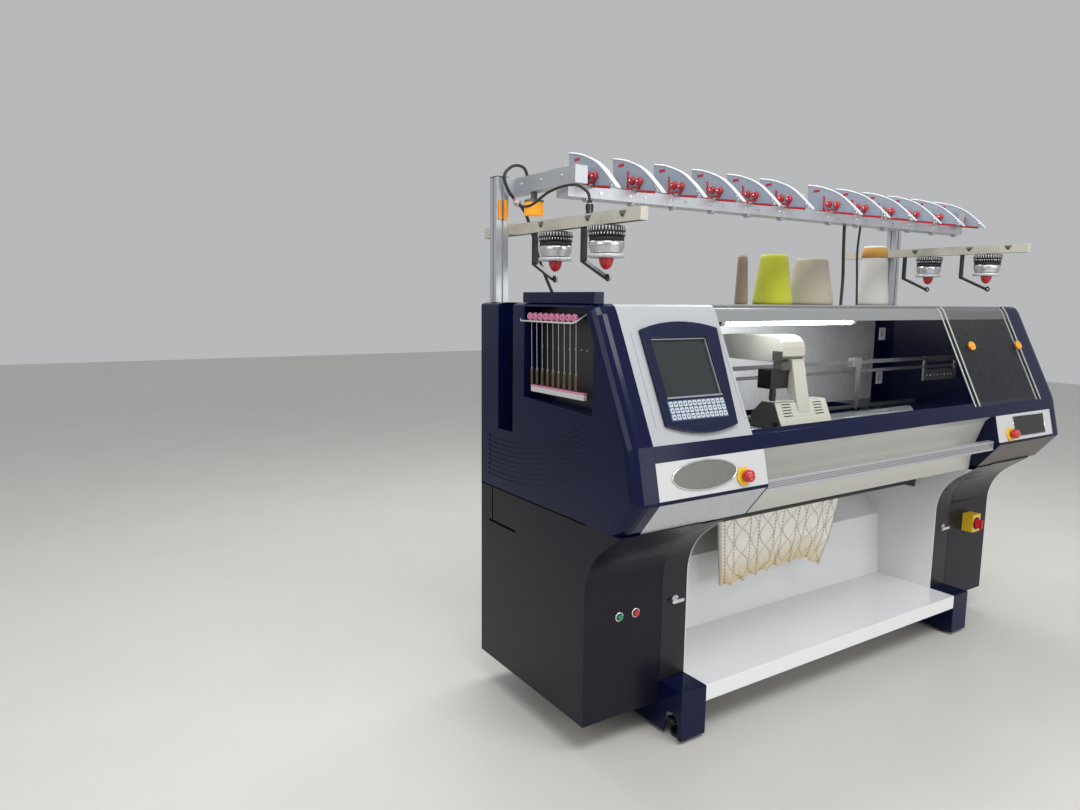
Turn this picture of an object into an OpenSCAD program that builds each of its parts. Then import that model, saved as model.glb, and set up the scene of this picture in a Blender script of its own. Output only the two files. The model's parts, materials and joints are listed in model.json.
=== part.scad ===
// Flat knitting machine with yarn stand, sizes in millimetres.
// +X runs along the needle beds to the operator's right, the front faces -Y,
// +Z is up, and z = 0 is the underside of the levelling pads.

/* [Housing] */
// Distance from the middle of the machine to each end face
half_len = 1275; // [1265:1:1285]
// Width of each rounded end cap along X
cap_w = 81; // [78:1:86]
// Inner end of each nose, measured from the middle
nose_x = 727; // [720:1:735]
// Rear face of the housings and cabinets
rear_y = 400; // [390:5:420]
// Distance from the left nose's inner end to the clear opening
rim_l = 45; // [42:1:50]
// Distance from the clear opening's right end to the end cap
rim_r = 59; // [55:1:65]
// Length of each sliding cover
cover_w = 519; // [505:1:525]
// Underside of the upper housing
waist_z = 800; // [798:1:806]
// Top of the yarn table
table_z = 1495; // [1490:1:1505]
// Wall of the moulded end caps
cap_wall = 6; // [4:1:7]
// Radius of the outer edge of the end caps
cap_r = 40; // [30:1:44]
// Thickness of the folded sheet parts
sheet = 3; // [2:0.5:4]
// Thickness of the front skins on the noses and the slope
skin_t = 4; // [3:0.5:5]

/* [Base] */
// Width of each foot and leg along X
foot_w = 115; // [110:1:120]
// Inner edge of the left leg
leg_l = 829; // [825:1:835]
// Inner edge of the right leg
leg_r = 725; // [722:1:726]
// Top of the feet and of the fabric shelf
shelf_z = 191; // [185:1:195]
// Front ends of the feet
foot_front = 405; // [395:5:415]
// Height of the levelling pads
pad_h = 14; // [12:1:18]
// Diameter of the levelling pads
pad_d = 70; // [60:2:80]
// Front face of the cabinets
cab_front = 290; // [285:1:295]
// Underside of the cabinets
cab_low = 112; // [105:1:120]
// Height at which the cabinet fronts start to curve forward
curve_z = 560; // [550:2:566]
// Radius of the forward curve
curve_r = 220; // [214:1:224]
// Outer edge of the right cabinet
cab_r_out = 1170; // [1150:5:1190]

/* [Front details] */
// Height of the operating bar
bar_h = 40; // [34:1:42]
// Depth of the operating bar
bar_d = 26; // [22:1:28]
// Radius of the end pins of the operating bar
bar_pin_r = 6; // [4:1:8]
// Radius of the yellow bases of the stop buttons
estop_base_r = 30; // [26:1:32]
// Radius of the red mushroom heads
estop_r = 20; // [16:1:21]
// Radius of the start and stop buttons
button_r = 10; // [8:1:12]
// Radius of the main switch knob
switch_r = 22.5; // [18:0.5:26]
// Height of the start and stop buttons
button_z = 465; // [455:1:475]
// Height of the wing locks and of the main switch
lock_z = 475; // [465:1:485]
// Length of the wing locks
wing_len = 55; // [45:1:60]

/* [Needle beds] */
// Length of the needle beds
bed_len = 1400; // [1360:10:1430]
// Height of the needle bed edges
bed_z = 1035; // [1030:1:1038]
// Middle plane of the beds, where the fabric hangs
fab_y = -135; // [-137:1:-133]
// Half of the gap between the beds
bed_gap = 6; // [5:0.5:8]
// Width of each needle bed, measured level
bed_w = 170; // [160:2:174]
// Radius of the take-down rollers
roller_r = 30; // [26:1:30.5]

/* [Yarn stand] */
// Side of the square posts
post_w = 50; // [40:1:52]
// Top of the posts
post_z = 1948; // [1935:1:1960]
// Distance of the post centres from the middle
post_x = 1231; // [1228:1:1234]
// Height of the front rail that carries the plates
rail_h = 40; // [34:1:44]
// Spacing of the tension plates
fin_pitch = 197; // [190:1:198]
// Distance of the post centres behind the middle
post_y = 345; // [335:1:350]
// Underside of the feeder arms
arm_z = 1745; // [1740:1:1750]
// Height of the feeder arms
arm_h = 40; // [34:1:44]
// Distance of the feeder arms from the middle
arm_x = 1150; // [1146:1:1154]
// Radius of the feeder drums
drum_r = 62; // [54:1:66]

/* [Hidden] */
$fn = 48;
inner_x = half_len - cap_w;
chin_low = [-455, waist_z];
chin = [-541, 908];
ledge = [-541, 919];
brow = [-505, 1080];
crest = [-322, table_z - 30];
top_edge = [-290, table_z];
beam_low = 1031;
slope_a = atan2(crest[1] - brow[1], crest[0] - brow[0]);
nose_a = atan2(brow[1] - ledge[1], brow[0] - ledge[0]);
open_l = -nose_x - rim_l;
open_r = inner_x - rim_r;
panel_r = open_r - 86;
lamp_x = open_l + 47;
lamp_len = 740;
lamp_y = top_edge[0] - 5;
lamp_z = table_z - 62;
lamp_r = 11;
cover_foot = brow[1] + 0.3;
cover_x = open_r - 5 - cover_w;
cover_step = 24;
display_x = (open_l - inner_x) / 2;
display_w = inner_x + open_l - 161;
key_pitch = (display_w - 24.6) / 12;
start_x = -half_len + 142;
stop_x = start_x + 70;
switch_x = cab_r_out - 180.5;
estop_left = [-nose_x - 111, 38];
estop_right = [nose_x + 88, 30];
badge_half = (inner_x + estop_left[0] - 30) / 2 - 28;
leg_in = 200;
curve_a = 53;
rail_top = post_z - 58;
rail_y0 = -20;
rail_y1 = 50;
first_fin = -877;
middle_fin = 220;
fins_x = concat([for (i = [-1:4]) first_fin + fin_pitch * i], [for (i = [0:5]) middle_fin + fin_pitch * i]);
drums_y = [88, -203];
roller_z = 700;
roller_y = roller_r + 1.7;
shaft_gap = 0.05;
seam = sheet / 2;
bar_y = -505;
bar_z = 912;
box_l = -510;
box_r = -230;
box_low = 1052;
box_wall = 5;
box_peak = [-367, 1151];
box_line = [[-412, box_low], [-391, 1094], box_peak, [-311, box_peak[1]], [-263, 1103], [-263, box_low]];
beam_l = -454;
beam_r = -331;
leg_x = -400;
foot_z = 1108;
foot_y = box_peak[0] - (box_peak[1] - foot_z) * 24 / 57;
plug_at = [-arm_x, -108, arm_z + arm_h];
lamp_route = [[-1135, 300, 1951], [-1150, 300, 1984], [-1182, 300, 1992], [-1214, 300, 1979],
    [-1235, 300, 1950], [-1222, 300, 1905], [-1190, 296, 1865], [-1150, 298, 1830], [-1116, 300, 1760],
    [-1080, 300, 1655], [-1040, 300, 1570], [-1000, 300, 1498.5]];
plug_route = [[-1150, -108, 1831], [-1152, -104, 1850], [-1166, -97, 1866], [-1184, -78, 1879],
    [-1193, -28, 1881], [-1197, 26, 1876], [-1198, 80, 1866], [-1197, 140, 1846], [-1195, 190, 1836],
    [-1194, 235, 1838], [-1181, 281, 1850]];
thick_route = [[380, 40, 1848.5], [398, 50, 1740], [425, 64, 1620], [418, 62, 1496]];
thin_route = [[496, 40, 1849], [505, 54, 1740], [530, 64, 1620], [537, 62, 1496]];

function unit(v) = v / norm(v);
function normal(a, b) = let (d = unit(b - a)) [d[1], -d[0]];
function mitre(m, n) = (m + n) / (1 + m * n);
function side_normals(p) = [for (i = [0:len(p) - 1]) i == 0 ? normal(p[0], p[1])
    : i == len(p) - 1 ? normal(p[i - 1], p[i]) : mitre(normal(p[i - 1], p[i]), normal(p[i], p[i + 1]))];
function moved(p, t) = let (n = side_normals(p)) [for (i = [0:len(p) - 1]) p[i] + t * n[i]];
function turned(p) = [for (i = [len(p) - 1:-1:0]) p[i]];
function band(p, t0, t1) = concat(moved(p, t0), turned(moved(p, t1)));
function front_y(z, d) = z <= curve_z ? d - cab_front
    : z - curve_z < (curve_r + d) * sin(curve_a)
    ? -cab_front - curve_r + sqrt(pow(curve_r + d, 2) - pow(z - curve_z, 2))
    : -cab_front - curve_r + (curve_r + d) * cos(curve_a)
        - (z - curve_z - (curve_r + d) * sin(curve_a)) * tan(curve_a);
function front_line(z0, z1, d) = concat([[d - cab_front, z0]],
    [for (i = [0:12]) let (a = curve_a * i / 12, r = curve_r + d)
        [-cab_front - curve_r + r * cos(a), curve_z + r * sin(a)]],
    [[front_y(z1, d), z1]]);
function low_y(z, d) = chin_low[0] + d / normal(chin_low, chin)[0]
    + (z - waist_z) * (chin[0] - chin_low[0]) / (chin[1] - chin_low[1]);
function nose_y(z, d) = ledge[0] + (z - ledge[1]) / tan(nose_a) + d / sin(nose_a);
function slope_y(z, d) = brow[0] + (z - brow[1]) / tan(slope_a) + d / sin(slope_a);
function cap_line(d, g) =
    let (m = moved([chin_low, chin, ledge, brow, crest], d), top = table_z - 0.3 * d - 0.7 * g)
    concat([[rear_y - g, waist_z + g], [low_y(waist_z + g, d), waist_z + g]],
        d > 20 ? [(m[1] + m[2]) / 2] : [m[1], m[2]],
        [m[3], m[4], [top_edge[0] - 16.8 + 0.85 * d, table_z - 7.5 - 0.55 * d], [top_edge[0] + 0.9 * d, top],
         [rear_y - g, top]]);
round_tip = [crest[0] + (top_edge[1] - crest[1]) / tan(slope_a), top_edge[1]];
round_line = [for (t = [0:0.25:1]) pow(1 - t, 2) * crest + 2 * t * (1 - t) * round_tip + t * t * top_edge];
function round_moved(d, n) = let (m = moved(round_line, d))
    concat([for (i = [0:n - 1]) m[i]], n == 4 ? [[top_edge[0], table_z - d]] : []);
function slope_skin(z, d0, d1, n) = concat([[slope_y(z, d0), z]], round_moved(d0, n),
    turned(round_moved(d1, n)), [[slope_y(z, d1), z]]);
function spline(p, k) = concat([for (i = [0:len(p) - 2], j = [0:k - 1]) let (t = j / k,
    a = p[max(i - 1, 0)], b = p[i], c = p[i + 1], d = p[min(i + 2, len(p) - 1)])
    0.5 * (2 * b + t * (c - a) + t * t * (2 * a - 5 * b + 4 * c - d) + t * t * t * (3 * b - a - 3 * c + d))],
    [p[len(p) - 1]]);
function path_dir(p, i) = unit(p[min(i + 1, len(p) - 1)] - p[max(i - 1, 0)]);

module block(x0, x1, y0, y1, z0, z1) {
    translate([x0, y0, z0]) cube([x1 - x0, y1 - y0, z1 - z0]);
}

module along_x(x0, x1) {
    translate([x0, 0, 0]) rotate([90, 0, 90]) linear_extrude(x1 - x0) children();
}

module along_y(y0, y1) {
    translate([0, y1, 0]) rotate([90, 0, 0]) linear_extrude(y1 - y0) children();
}

module rod_x(x0, x1, y, z, r) {
    translate([x0, y, z]) rotate([0, 90, 0]) cylinder(r = r, h = x1 - x0);
}

module rod_y(y0, y1, x, z, r) {
    translate([x, y1, z]) rotate([90, 0, 0]) cylinder(r = r, h = y1 - y0);
}

module on_slope() {
    translate([0, brow[0], brow[1]]) rotate([slope_a, 0, 0]) children();
}

module on_nose() {
    translate([0, ledge[0], ledge[1]]) rotate([nose_a, 0, 0]) children();
}

module both_sides() {
    children();
    mirror([1, 0, 0]) children();
}

module cord(points, r) {
    sides = 8;
    n = len(points);
    rings = [for (i = [0:n - 1])
        let (t = path_dir(points, i), u = unit(cross(t, [0.2, 1, 0.1])), v = cross(t, u))
        [for (j = [0:sides - 1]) points[i] + r * (cos(360 * j / sides) * u + sin(360 * j / sides) * v)]];
    walls = [for (i = [0:n - 2], j = [0:sides - 1]) let (k = (j + 1) % sides)
        [i * sides + j, i * sides + k, (i + 1) * sides + k, (i + 1) * sides + j]];
    first = [for (j = [0:sides - 1]) sides - 1 - j];
    last = [for (j = [0:sides - 1]) (n - 1) * sides + j];
    polyhedron([for (ring = rings) for (q = ring) q], concat([first], walls, [last]));
}

module foot(x0, out) {
    difference() {
        block(x0, x0 + foot_w, -foot_front, rear_y, pad_h, shelf_z);
        block(x0 + 6, x0 + foot_w - 6, -foot_front + 6, rear_y - 6, pad_h - 1, shelf_z - 6);
        if (out < 0) foot_window(x0 - 1);
        if (out > 0) foot_window(x0 + foot_w - 7);
    }
}

module foot_window(x) {
    along_x(x, x + 8) translate([-355, 0]) {
        translate([0, 65]) circle(r = 33);
        translate([-33, 0]) square([66, 65]);
    }
}

module leg(x0) {
    difference() {
        block(x0, x0 + foot_w, -leg_in, rear_y - 10, shelf_z, waist_z);
        block(x0 + 6, x0 + foot_w - 6, -leg_in + 6, rear_y - 16, shelf_z - 1, waist_z - 6);
    }
}

module base_frame() color([0.09, 0.11, 0.24]) {
    union() {
        foot(-leg_l - foot_w, -1);
        foot(leg_r, 1);
        leg(-leg_l - foot_w);
        leg(leg_r);
        difference() {
            block(-leg_l - 1, leg_r + 1, 200, 380, 700, waist_z);
            block(-leg_l - 2, leg_r + 2, 206, 374, 706, waist_z - 6);
        }
        difference() {
            block(-leg_l - 1, leg_r + 1, 250, 350, 60, 160);
            block(-leg_l - 2, leg_r + 2, 256, 344, 66, 154);
        }
        difference() {
            block(-leg_l - 1, leg_r + 1, -330, -270, shelf_z - 63, shelf_z - sheet);
            block(-leg_l - 2, leg_r + 2, -324, -276, shelf_z - 57, shelf_z - sheet - 6);
        }
    }
}

module levelling_pads() color([0.12, 0.12, 0.12]) {
    for (x = [-leg_l - foot_w / 2, leg_r + foot_w / 2], y = [-345, 340]) {
        translate([x, y, 0]) {
            difference() {
                union() {
                    cylinder(d = pad_d, h = pad_h - 2);
                    cylinder(d = 20, h = shelf_z - 6);
                }
                translate([0, 0, -1]) cylinder(d = 12, h = 3);
            }
            translate([0, 0, pad_h - 2]) cylinder(d = 30, h = 2);
            translate([-foot_w / 2 + 6, -18, 60]) cube([foot_w - 12, 36, 10]);
        }
    }
}

module liner_wall(x) {
    line = front_line(shelf_z, waist_z - 18, 0);
    along_x(x, x + sheet)
        polygon(concat([[98, waist_z], [98, shelf_z]], line, [[-400, waist_z - 18], [-400, waist_z]]));
}

module bay_liner() color([0.93, 0.93, 0.93]) {
    back = [[-24, shelf_z + 0.3], [-1, 483], [98, 571], [98, waist_z]];
    union() {
        liner_wall(-leg_l);
        liner_wall(leg_r - sheet);
        along_x(-leg_l, leg_r) polygon(band(back, 0, sheet));
    }
}

module fabric_shelf() color([0.93, 0.93, 0.93]) {
    union() {
        block(-leg_l, leg_r, -foot_front, 60, shelf_z - sheet, shelf_z);
        block(-leg_l, leg_r, -foot_front, -foot_front + sheet, shelf_z - 59, shelf_z);
        block(-leg_l, leg_r, 60 - sheet, 60, shelf_z - 30, shelf_z);
        block(-leg_l, leg_r, -foot_front, -foot_front + 30, shelf_z - 59, shelf_z - 59 + sheet);
    }
}

module cabinet_shell(x0, x1) {
    difference() {
        along_x(x0, x1)
            polygon(concat([[rear_y, waist_z], [rear_y, cab_low]], front_line(cab_low, waist_z, 0)));
        along_x(x0 + sheet, x1 - sheet)
            polygon(concat([[rear_y - sheet, waist_z - sheet], [rear_y - sheet, cab_low - 1]],
                front_line(cab_low - 1, waist_z - sheet, sheet)));
    }
}

module button_port(x) {
    rod_y(-cab_front - 5, -cab_front + 12, x, button_z, button_r + 5);
}

module button_bore(x) {
    rod_y(-cab_front - 6, -cab_front + 13, x, button_z, button_r + shaft_gap);
}

module left_cabinet() color([0.11, 0.12, 0.17]) {
    difference() {
        union() {
            cabinet_shell(-half_len, -leg_l - foot_w);
            button_port(start_x);
            button_port(stop_x);
        }
        button_bore(start_x);
        button_bore(stop_x);
        block(-half_len - 1, -half_len + seam, 310.5, 313.5, waist_z - 131, waist_z + 1);
        block(-half_len - 1, -half_len + seam, 145, 339, waist_z - 140, waist_z - 132);
    }
}

module right_cabinet() color([0.11, 0.12, 0.17]) {
    cabinet_shell(leg_r + foot_w, cab_r_out);
}

module leg_cover(x0) {
    difference() {
        union() {
            along_x(x0 + 0.5, x0 + foot_w - 0.5) polygon(concat(front_line(shelf_z + 0.5, waist_z - 5, 0),
                turned(front_line(shelf_z + 0.5, waist_z - 5, sheet))));
            block(x0 + 12, x0 + foot_w - 12, -cab_front + 1, -leg_in - 0.5, 250, 250 + sheet);
            block(x0 + 12, x0 + foot_w - 12, -cab_front + 1, -leg_in - 0.5, 530, 530 + sheet);
            rod_y(-cab_front + 1, -cab_front + 12, x0 + foot_w / 2, lock_z, 13);
        }
        rod_y(-cab_front - 1, -cab_front + 13, x0 + foot_w / 2, lock_z, 6 + shaft_gap);
    }
}

module left_leg_cover() color([0.07, 0.07, 0.09]) {
    leg_cover(-leg_l - foot_w);
}

module right_leg_cover() color([0.07, 0.07, 0.09]) {
    leg_cover(leg_r);
}

module wing_lock(x0) {
    union() {
        rod_y(-cab_front - 6, -cab_front - 0.3, x0 + foot_w / 2, lock_z, 16);
        rod_y(-cab_front - 7, -cab_front + 18, x0 + foot_w / 2, lock_z, 6);
        translate([x0 + foot_w / 2, 0, lock_z]) along_y(-cab_front - 22, -cab_front - 5) hull() {
            translate([-wing_len / 2 + 6, 0]) circle(r = 6);
            translate([wing_len / 2 - 6, 0]) circle(r = 6);
        }
        translate([x0 + foot_w / 2 - 8, -cab_front + 14, lock_z - 6]) cube([32, 4, 12]);
    }
}

module wing_lock_left() color([0.75, 0.75, 0.77]) {
    wing_lock(-leg_l - foot_w);
}

module wing_lock_right() color([0.75, 0.75, 0.77]) {
    wing_lock(leg_r);
}

module start_button() color([0.1, 0.55, 0.25]) {
    rod_y(-cab_front - 13, -cab_front + 20, start_x, button_z, button_r);
}

module stop_button() color([0.8, 0.1, 0.08]) {
    rod_y(-cab_front - 13, -cab_front + 20, stop_x, button_z, button_r);
}

module main_switch_box() color([0.95, 0.8, 0.1]) {
    difference() {
        block(switch_x - 32.5, switch_x + 32.5, -cab_front - 50, -cab_front, lock_z - 41, lock_z + 42);
        rod_y(-cab_front - 51, -cab_front - 30, switch_x, lock_z, 5 + shaft_gap);
    }
}

module main_switch_knob() color([0.8, 0.1, 0.08]) {
    union() {
        rod_y(-cab_front - 66, -cab_front - 50.5, switch_x, lock_z, switch_r);
        rod_y(-cab_front - 67, -cab_front - 34, switch_x, lock_z, 5);
        translate([switch_x - 6, -cab_front - 78, lock_z - switch_r + 2]) cube([12, 13, 2 * switch_r - 4]);
    }
}

module cap_solid(grow) {
    r = cap_r - grow;
    hull() {
        for (a = [0:22.5:90]) {
            x = -half_len + grow + r * (1 - sin(a));
            along_x(x, x + 0.1) polygon(cap_line(grow + r * (1 - cos(a)), grow));
        }
        along_x(-inner_x - 0.1 + grow / 3, -inner_x + grow / 3) polygon(cap_line(grow, grow));
    }
}

module cap_shell() {
    difference() {
        cap_solid(0);
        cap_solid(cap_wall);
    }
}

module nose_frame() {
    along_x(-inner_x - 1, -nose_x) polygon([[low_y(waist_z, sheet), waist_z],
        [low_y(waist_z + 6, sheet), waist_z + 6], [rear_y, waist_z + 6], [rear_y, waist_z]]);
    along_x(-inner_x - 1, -nose_x) polygon([chin, ledge, ledge + [40, 0], chin + [40, 0]]);
    along_x(-nose_x - 6, -nose_x) polygon([[rear_y - sheet, waist_z], chin_low, chin, ledge,
        [nose_y(ledge[1], skin_t), ledge[1]], [nose_y(beam_low, skin_t), beam_low], [-470, beam_low],
        [-470, 1000], [rear_y - sheet, 1000]]);
}

module pin_bores() {
    rod_x(-nose_x - 7, nose_x + 7, bar_y, bar_z, bar_pin_r + shaft_gap);
}

module side_wall(x, d) {
    along_x(x, x + 6) polygon([[300, 994], [-455, 994], [-455, brow[1]], [slope_y(brow[1], d), brow[1]],
        [slope_y(crest[1] - 7, d), crest[1] - 7], [-300, table_z - 20], [-290, table_z - 6],
        [300, table_z - 6]]);
}

module tension_recess(grow) {
    polygon([[91 + grow, table_z - 326 - grow], [-311 - grow, table_z - 345 - grow],
        [-311 - grow, table_z - 117], [-262 - grow, table_z - 12], [91 + grow, table_z - 12]]);
}

module louvre(k) {
    translate([-half_len - 1, 258, 2205]) rotate([90, 0, 90]) rotate([0, 0, -115.6 + 0.36 * k])
        rotate_extrude(angle = 29.5 - 0.42 * k) translate([1210 + 18 * k, 0]) square([7, 4]);
}

module left_housing() color([0.06, 0.08, 0.22]) {
    difference() {
        union() {
            cap_shell();
            nose_frame();
            side_wall(open_l - 6, skin_t);
            block(open_l - 6, -nose_x - 1, -470, 300, 994, 1000);
            along_x(-half_len + 5, -half_len + 76) tension_recess(6);
            block(-half_len + 5, -half_len + 66, 160, 277, 1024, table_z - 8);
        }
        along_x(-half_len - 1, -half_len + 70) tension_recess(0);
        block(-half_len - 1, -half_len + 60, 166, 271, 1030, table_z + 1);
        for (k = [0:8]) louvre(k);
        pin_bores();
    }
}

module right_housing() color([0.06, 0.08, 0.22]) {
    difference() {
        union() {
            mirror([1, 0, 0]) cap_shell();
            mirror([1, 0, 0]) nose_frame();
            side_wall(open_r, skin_t - 1.5);
            block(nose_x + 1, open_r + 6, -470, 303, 994, 1000);
            block(panel_r, open_r + 1, 300, 303, 994, table_z - 6);
            along_x(open_r, inner_x) polygon(slope_skin(brow[1], 0, skin_t, 4));
        }
        pin_bores();
    }
}

module under_panels() color([0.6, 0.6, 0.6]) {
    both_sides() along_x(-inner_x, -nose_x - 6) polygon([[low_y(waist_z, 0), waist_z], chin,
        [low_y(chin[1], sheet), chin[1]], [low_y(waist_z, sheet), waist_z]]);
}

module front_beam() color([0.06, 0.08, 0.22]) {
    union() {
        difference() {
            along_x(-inner_x, inner_x)
                polygon([[nose_y(beam_low, 0), beam_low], brow, [-455, brow[1]], [-455, beam_low]]);
            along_x(-inner_x - 1, inner_x + 1) polygon([[nose_y(beam_low + 3, 3), beam_low + 3],
                [nose_y(brow[1] - 3, 3), brow[1] - 3], [-458, brow[1] - 3], [-458, beam_low + 3]]);
        }
        along_x(open_l, open_r) polygon([for (p = [[-1, 10], [12, 10], [12, 13], [-1, 13]])
            [slope_y(brow[1] + p[0], p[1]), brow[1] + p[0]]]);
    }
}

module front_apron() color([0.78, 0.77, 0.7]) {
    apron = [[-419, 785], [-423, 838], [-436, 902], [-472, 1003], [-500, beam_low]];
    inner = moved(apron, 3);
    along_x(-nose_x, nose_x) polygon(concat(apron, [[-496, beam_low]], [for (i = [3:-1:0]) inner[i]]));
}

module operating_bar() color([0.8, 0.81, 0.82]) {
    y0 = bar_y - bar_d / 2;
    union() {
        along_x(5 - nose_x, nose_x - 5) difference() {
            translate([y0, bar_z - bar_h + 12]) square([bar_d, bar_h]);
            for (k = [0:3]) translate([y0 - 1, bar_z - bar_h + 22 + 6 * k]) square([3, 2]);
            translate([y0 + 5, bar_z - bar_h + 17]) square([bar_d - 10, 10]);
        }
        rod_x(-nose_x - 5, nose_x + 5, bar_y, bar_z, bar_pin_r);
    }
}

module name_plates() color([0.9, 0.9, 0.88]) {
    difference() {
        both_sides() along_x(-inner_x, -nose_x) polygon([[nose_y(ledge[1], 0), ledge[1]],
            [nose_y(beam_low, 0), beam_low], [nose_y(beam_low, skin_t), beam_low],
            [nose_y(ledge[1], skin_t), ledge[1]]]);
        on_nose() estop_at() translate([0, 0, -10]) cylinder(r = 12, h = 20);
    }
}

module estop_at() {
    translate(estop_left) children();
    translate(estop_right) children();
}

module badges() color([0.5, 0.5, 0.5]) {
    on_nose() {
        translate([-inner_x + 58 + badge_half, 62, 0]) linear_extrude(2)
            polygon([for (a = [0:7.5:352.5]) [badge_half * cos(a), 44.5 * sin(a)]]);
        translate([estop_right[0] + 42, 15, 0]) cube([inner_x - estop_right[0] - 113, 88, 2]);
    }
}

module e_stop_bases() color([0.95, 0.8, 0.1]) {
    on_nose() estop_at() difference() {
        cylinder(r = estop_base_r, h = 8);
        translate([0, 0, -1]) cylinder(r = 11 + shaft_gap, h = 10);
    }
}

module e_stop_head(at) {
    on_nose() translate(at) rotate_extrude() polygon([[0, 1], [11, 1], [11, 14], [estop_r - 3, 14],
        [estop_r, 18], [estop_r, 36], [estop_r - 3, 40], [0, 41]]);
}

module e_stop_head_left() color([0.8, 0.05, 0.05]) {
    e_stop_head(estop_left);
}

module e_stop_head_right() color([0.8, 0.05, 0.05]) {
    e_stop_head(estop_right);
}

module control_bezel() color([0.93, 0.93, 0.92]) {
    difference() {
        along_x(-inner_x, open_l) polygon(slope_skin(brow[1], 0, skin_t, 4));
        on_slope() {
            translate([display_x - display_w / 2 + 0.5, 58, -skin_t - 1]) cube([display_w, 292, skin_t + 2]);
            translate([-inner_x + 28, 55, -1.5]) cube([3, 312, 3]);
            translate([open_l - 15, 52, -1.5]) cube([3, 324, 3]);
        }
    }
}

function bowed(a, m, b) = [for (t = [0:0.1:0.9])
    pow(1 - t, 2) * a + 2 * t * (1 - t) * (2 * m - (a + b) / 2) + t * t * b];

module display_frame() color([0.06, 0.07, 0.16]) {
    left = display_w / 2 + 17.5;
    right = display_w / 2 + 49.5;
    on_slope() translate([display_x, 0, 0]) difference() {
        linear_extrude(14) polygon(concat(bowed([-left, 56], [16, 22], [right, 50]),
            bowed([right, 370], [16, 394], [-left, 369]), [[-left, 369]]));
        translate([12.5 - display_w / 2, 138, -1]) cube([display_w - 24, 201, 16]);
        translate([7.5 - display_w / 2, 67, 12]) cube([display_w - 21, 64, 3]);
    }
}

module display_screen() color([0.3, 0.31, 0.32]) {
    on_slope() translate([display_x - display_w / 2 + 2.5, 132, -6]) cube([display_w - 4, 214, 6]);
}

module keypad() color([0.75, 0.76, 0.75]) {
    on_slope() translate([display_x - display_w / 2 + 7.5, 0, 0]) union() {
        translate([0, 67, 12]) cube([display_w - 21, 64, 1.5]);
        for (i = [0:11], j = [0:2]) translate([2 + key_pitch * i, 70 + 20.5 * j, 13])
            cube([key_pitch - 2.7, 17, 1.5]);
    }
}

module yarn_table() color([0.06, 0.08, 0.22]) {
    union() {
        block(-inner_x, inner_x, top_edge[0], rear_y, table_z - 6, table_z);
        along_x(open_l, open_r) polygon(concat([[slope_y(crest[1] - 28, 10), crest[1] - 28]],
            round_moved(10, 4), [for (p = [[4, 5], [6, 5], [6, 14]]) [top_edge[0] + p[0], table_z - p[1]]],
            turned(round_moved(13, 3)), [[slope_y(crest[1] - 28, 13), crest[1] - 28]]));
        for (x = [lamp_x + 35, lamp_x + lamp_len - 45]) difference() {
            along_x(x, x + 10) polygon([[lamp_y - 14, lamp_z + 1], [lamp_y - 14, crest[1] - 3],
                [lamp_y + 3, table_z - 5], [lamp_y + 14, table_z - 5], [lamp_y + 14, lamp_z + 1]]);
            rod_x(x - 1, x + 11, lamp_y, lamp_z, lamp_r);
        }
    }
}

module rear_cover() color([0.2, 0.22, 0.26]) {
    block(-inner_x, inner_x, rear_y - sheet, rear_y, waist_z + 6, table_z - 6);
}

module back_panel() color([0.6, 0.61, 0.62]) {
    block(open_l, panel_r, 300, 303, 1000, table_z - 6);
}

module cover(x, d) {
    along_x(x, x + cover_w) polygon(slope_skin(cover_foot, d, d + 3, 3));
}

module sliding_cover_outer() color([0.7, 0.75, 0.78, 0.5]) {
    cover(cover_x, 0);
}

module sliding_cover_inner() color([0.7, 0.75, 0.78, 0.5]) {
    cover(cover_x - cover_step, 5);
}

module cover_knobs() color([0.95, 0.5, 0.1]) {
    on_slope() {
        for (p = [[cover_x + 90, 267], [cover_x + cover_w - 37, 261]]) translate(p) union() {
            cylinder(r = 12, h = 10);
            translate([0, 0, 9]) cylinder(r1 = 20, r2 = 17, h = 9);
        }
    }
}

module light_tube() color([0.95, 0.97, 1]) {
    rod_x(lamp_x, lamp_x + lamp_len, lamp_y, lamp_z, lamp_r);
}

module vee(side) {
    translate([0, fab_y, 0]) scale([1, side, 1]) children();
}

module rib(x, t, h) {
    w = bed_gap + bed_w;
    along_x(x, x + t) polygon([[10, waist_z], [265, waist_z], [265, h], [230, h], [w + 12, bed_z - bed_w + 8],
        [w, bed_z - bed_w], [w - 17, bed_z - bed_w - 17], [10, bed_z - 44 + bed_gap]]);
}

module bearing_plate(x) {
    difference() {
        block(x, x + 12, fab_y - 60, fab_y + 60, 660, 812);
        rod_x(x - 1, x + 13, fab_y - roller_y, roller_z, 10 + shaft_gap);
        rod_x(x - 1, x + 13, fab_y + roller_y, roller_z, 10 + shaft_gap);
    }
}

module bed_frame() color([0.25, 0.26, 0.28]) {
    union() {
        block(-nose_x, nose_x, fab_y + 10, 380, waist_z, waist_z + 26);
        block(-nose_x, nose_x, -400, fab_y - 10, waist_z, waist_z + 26);
        block(-nose_x, -nose_x + 15, fab_y - 11, fab_y + 11, waist_z, 990);
        block(nose_x - 15, nose_x, fab_y - 11, fab_y + 11, waist_z, 990);
        for (x = [-nose_x, -366, -6, 354, nose_x - 12]) {
            vee(-1) rib(x, 12, 1020);
            vee(1) rib(x, 12, 1000);
        }
        bearing_plate(-700);
        bearing_plate(688);
        block(open_l, open_r, fab_y - 265, fab_y - 230, 1020, 1040);
        block(open_l, open_r, fab_y + 230, fab_y + 265, 1000, 1010);
    }
}

module needle_bed() {
    w = bed_gap + bed_w;
    along_x(-bed_len / 2, bed_len / 2)
        polygon([[bed_gap, bed_z], [w, bed_z - bed_w], [w - 17, bed_z - bed_w - 17], [bed_gap, bed_z - 34]]);
}

module front_needle_bed() color([0.62, 0.63, 0.64]) {
    vee(-1) needle_bed();
}

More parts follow.
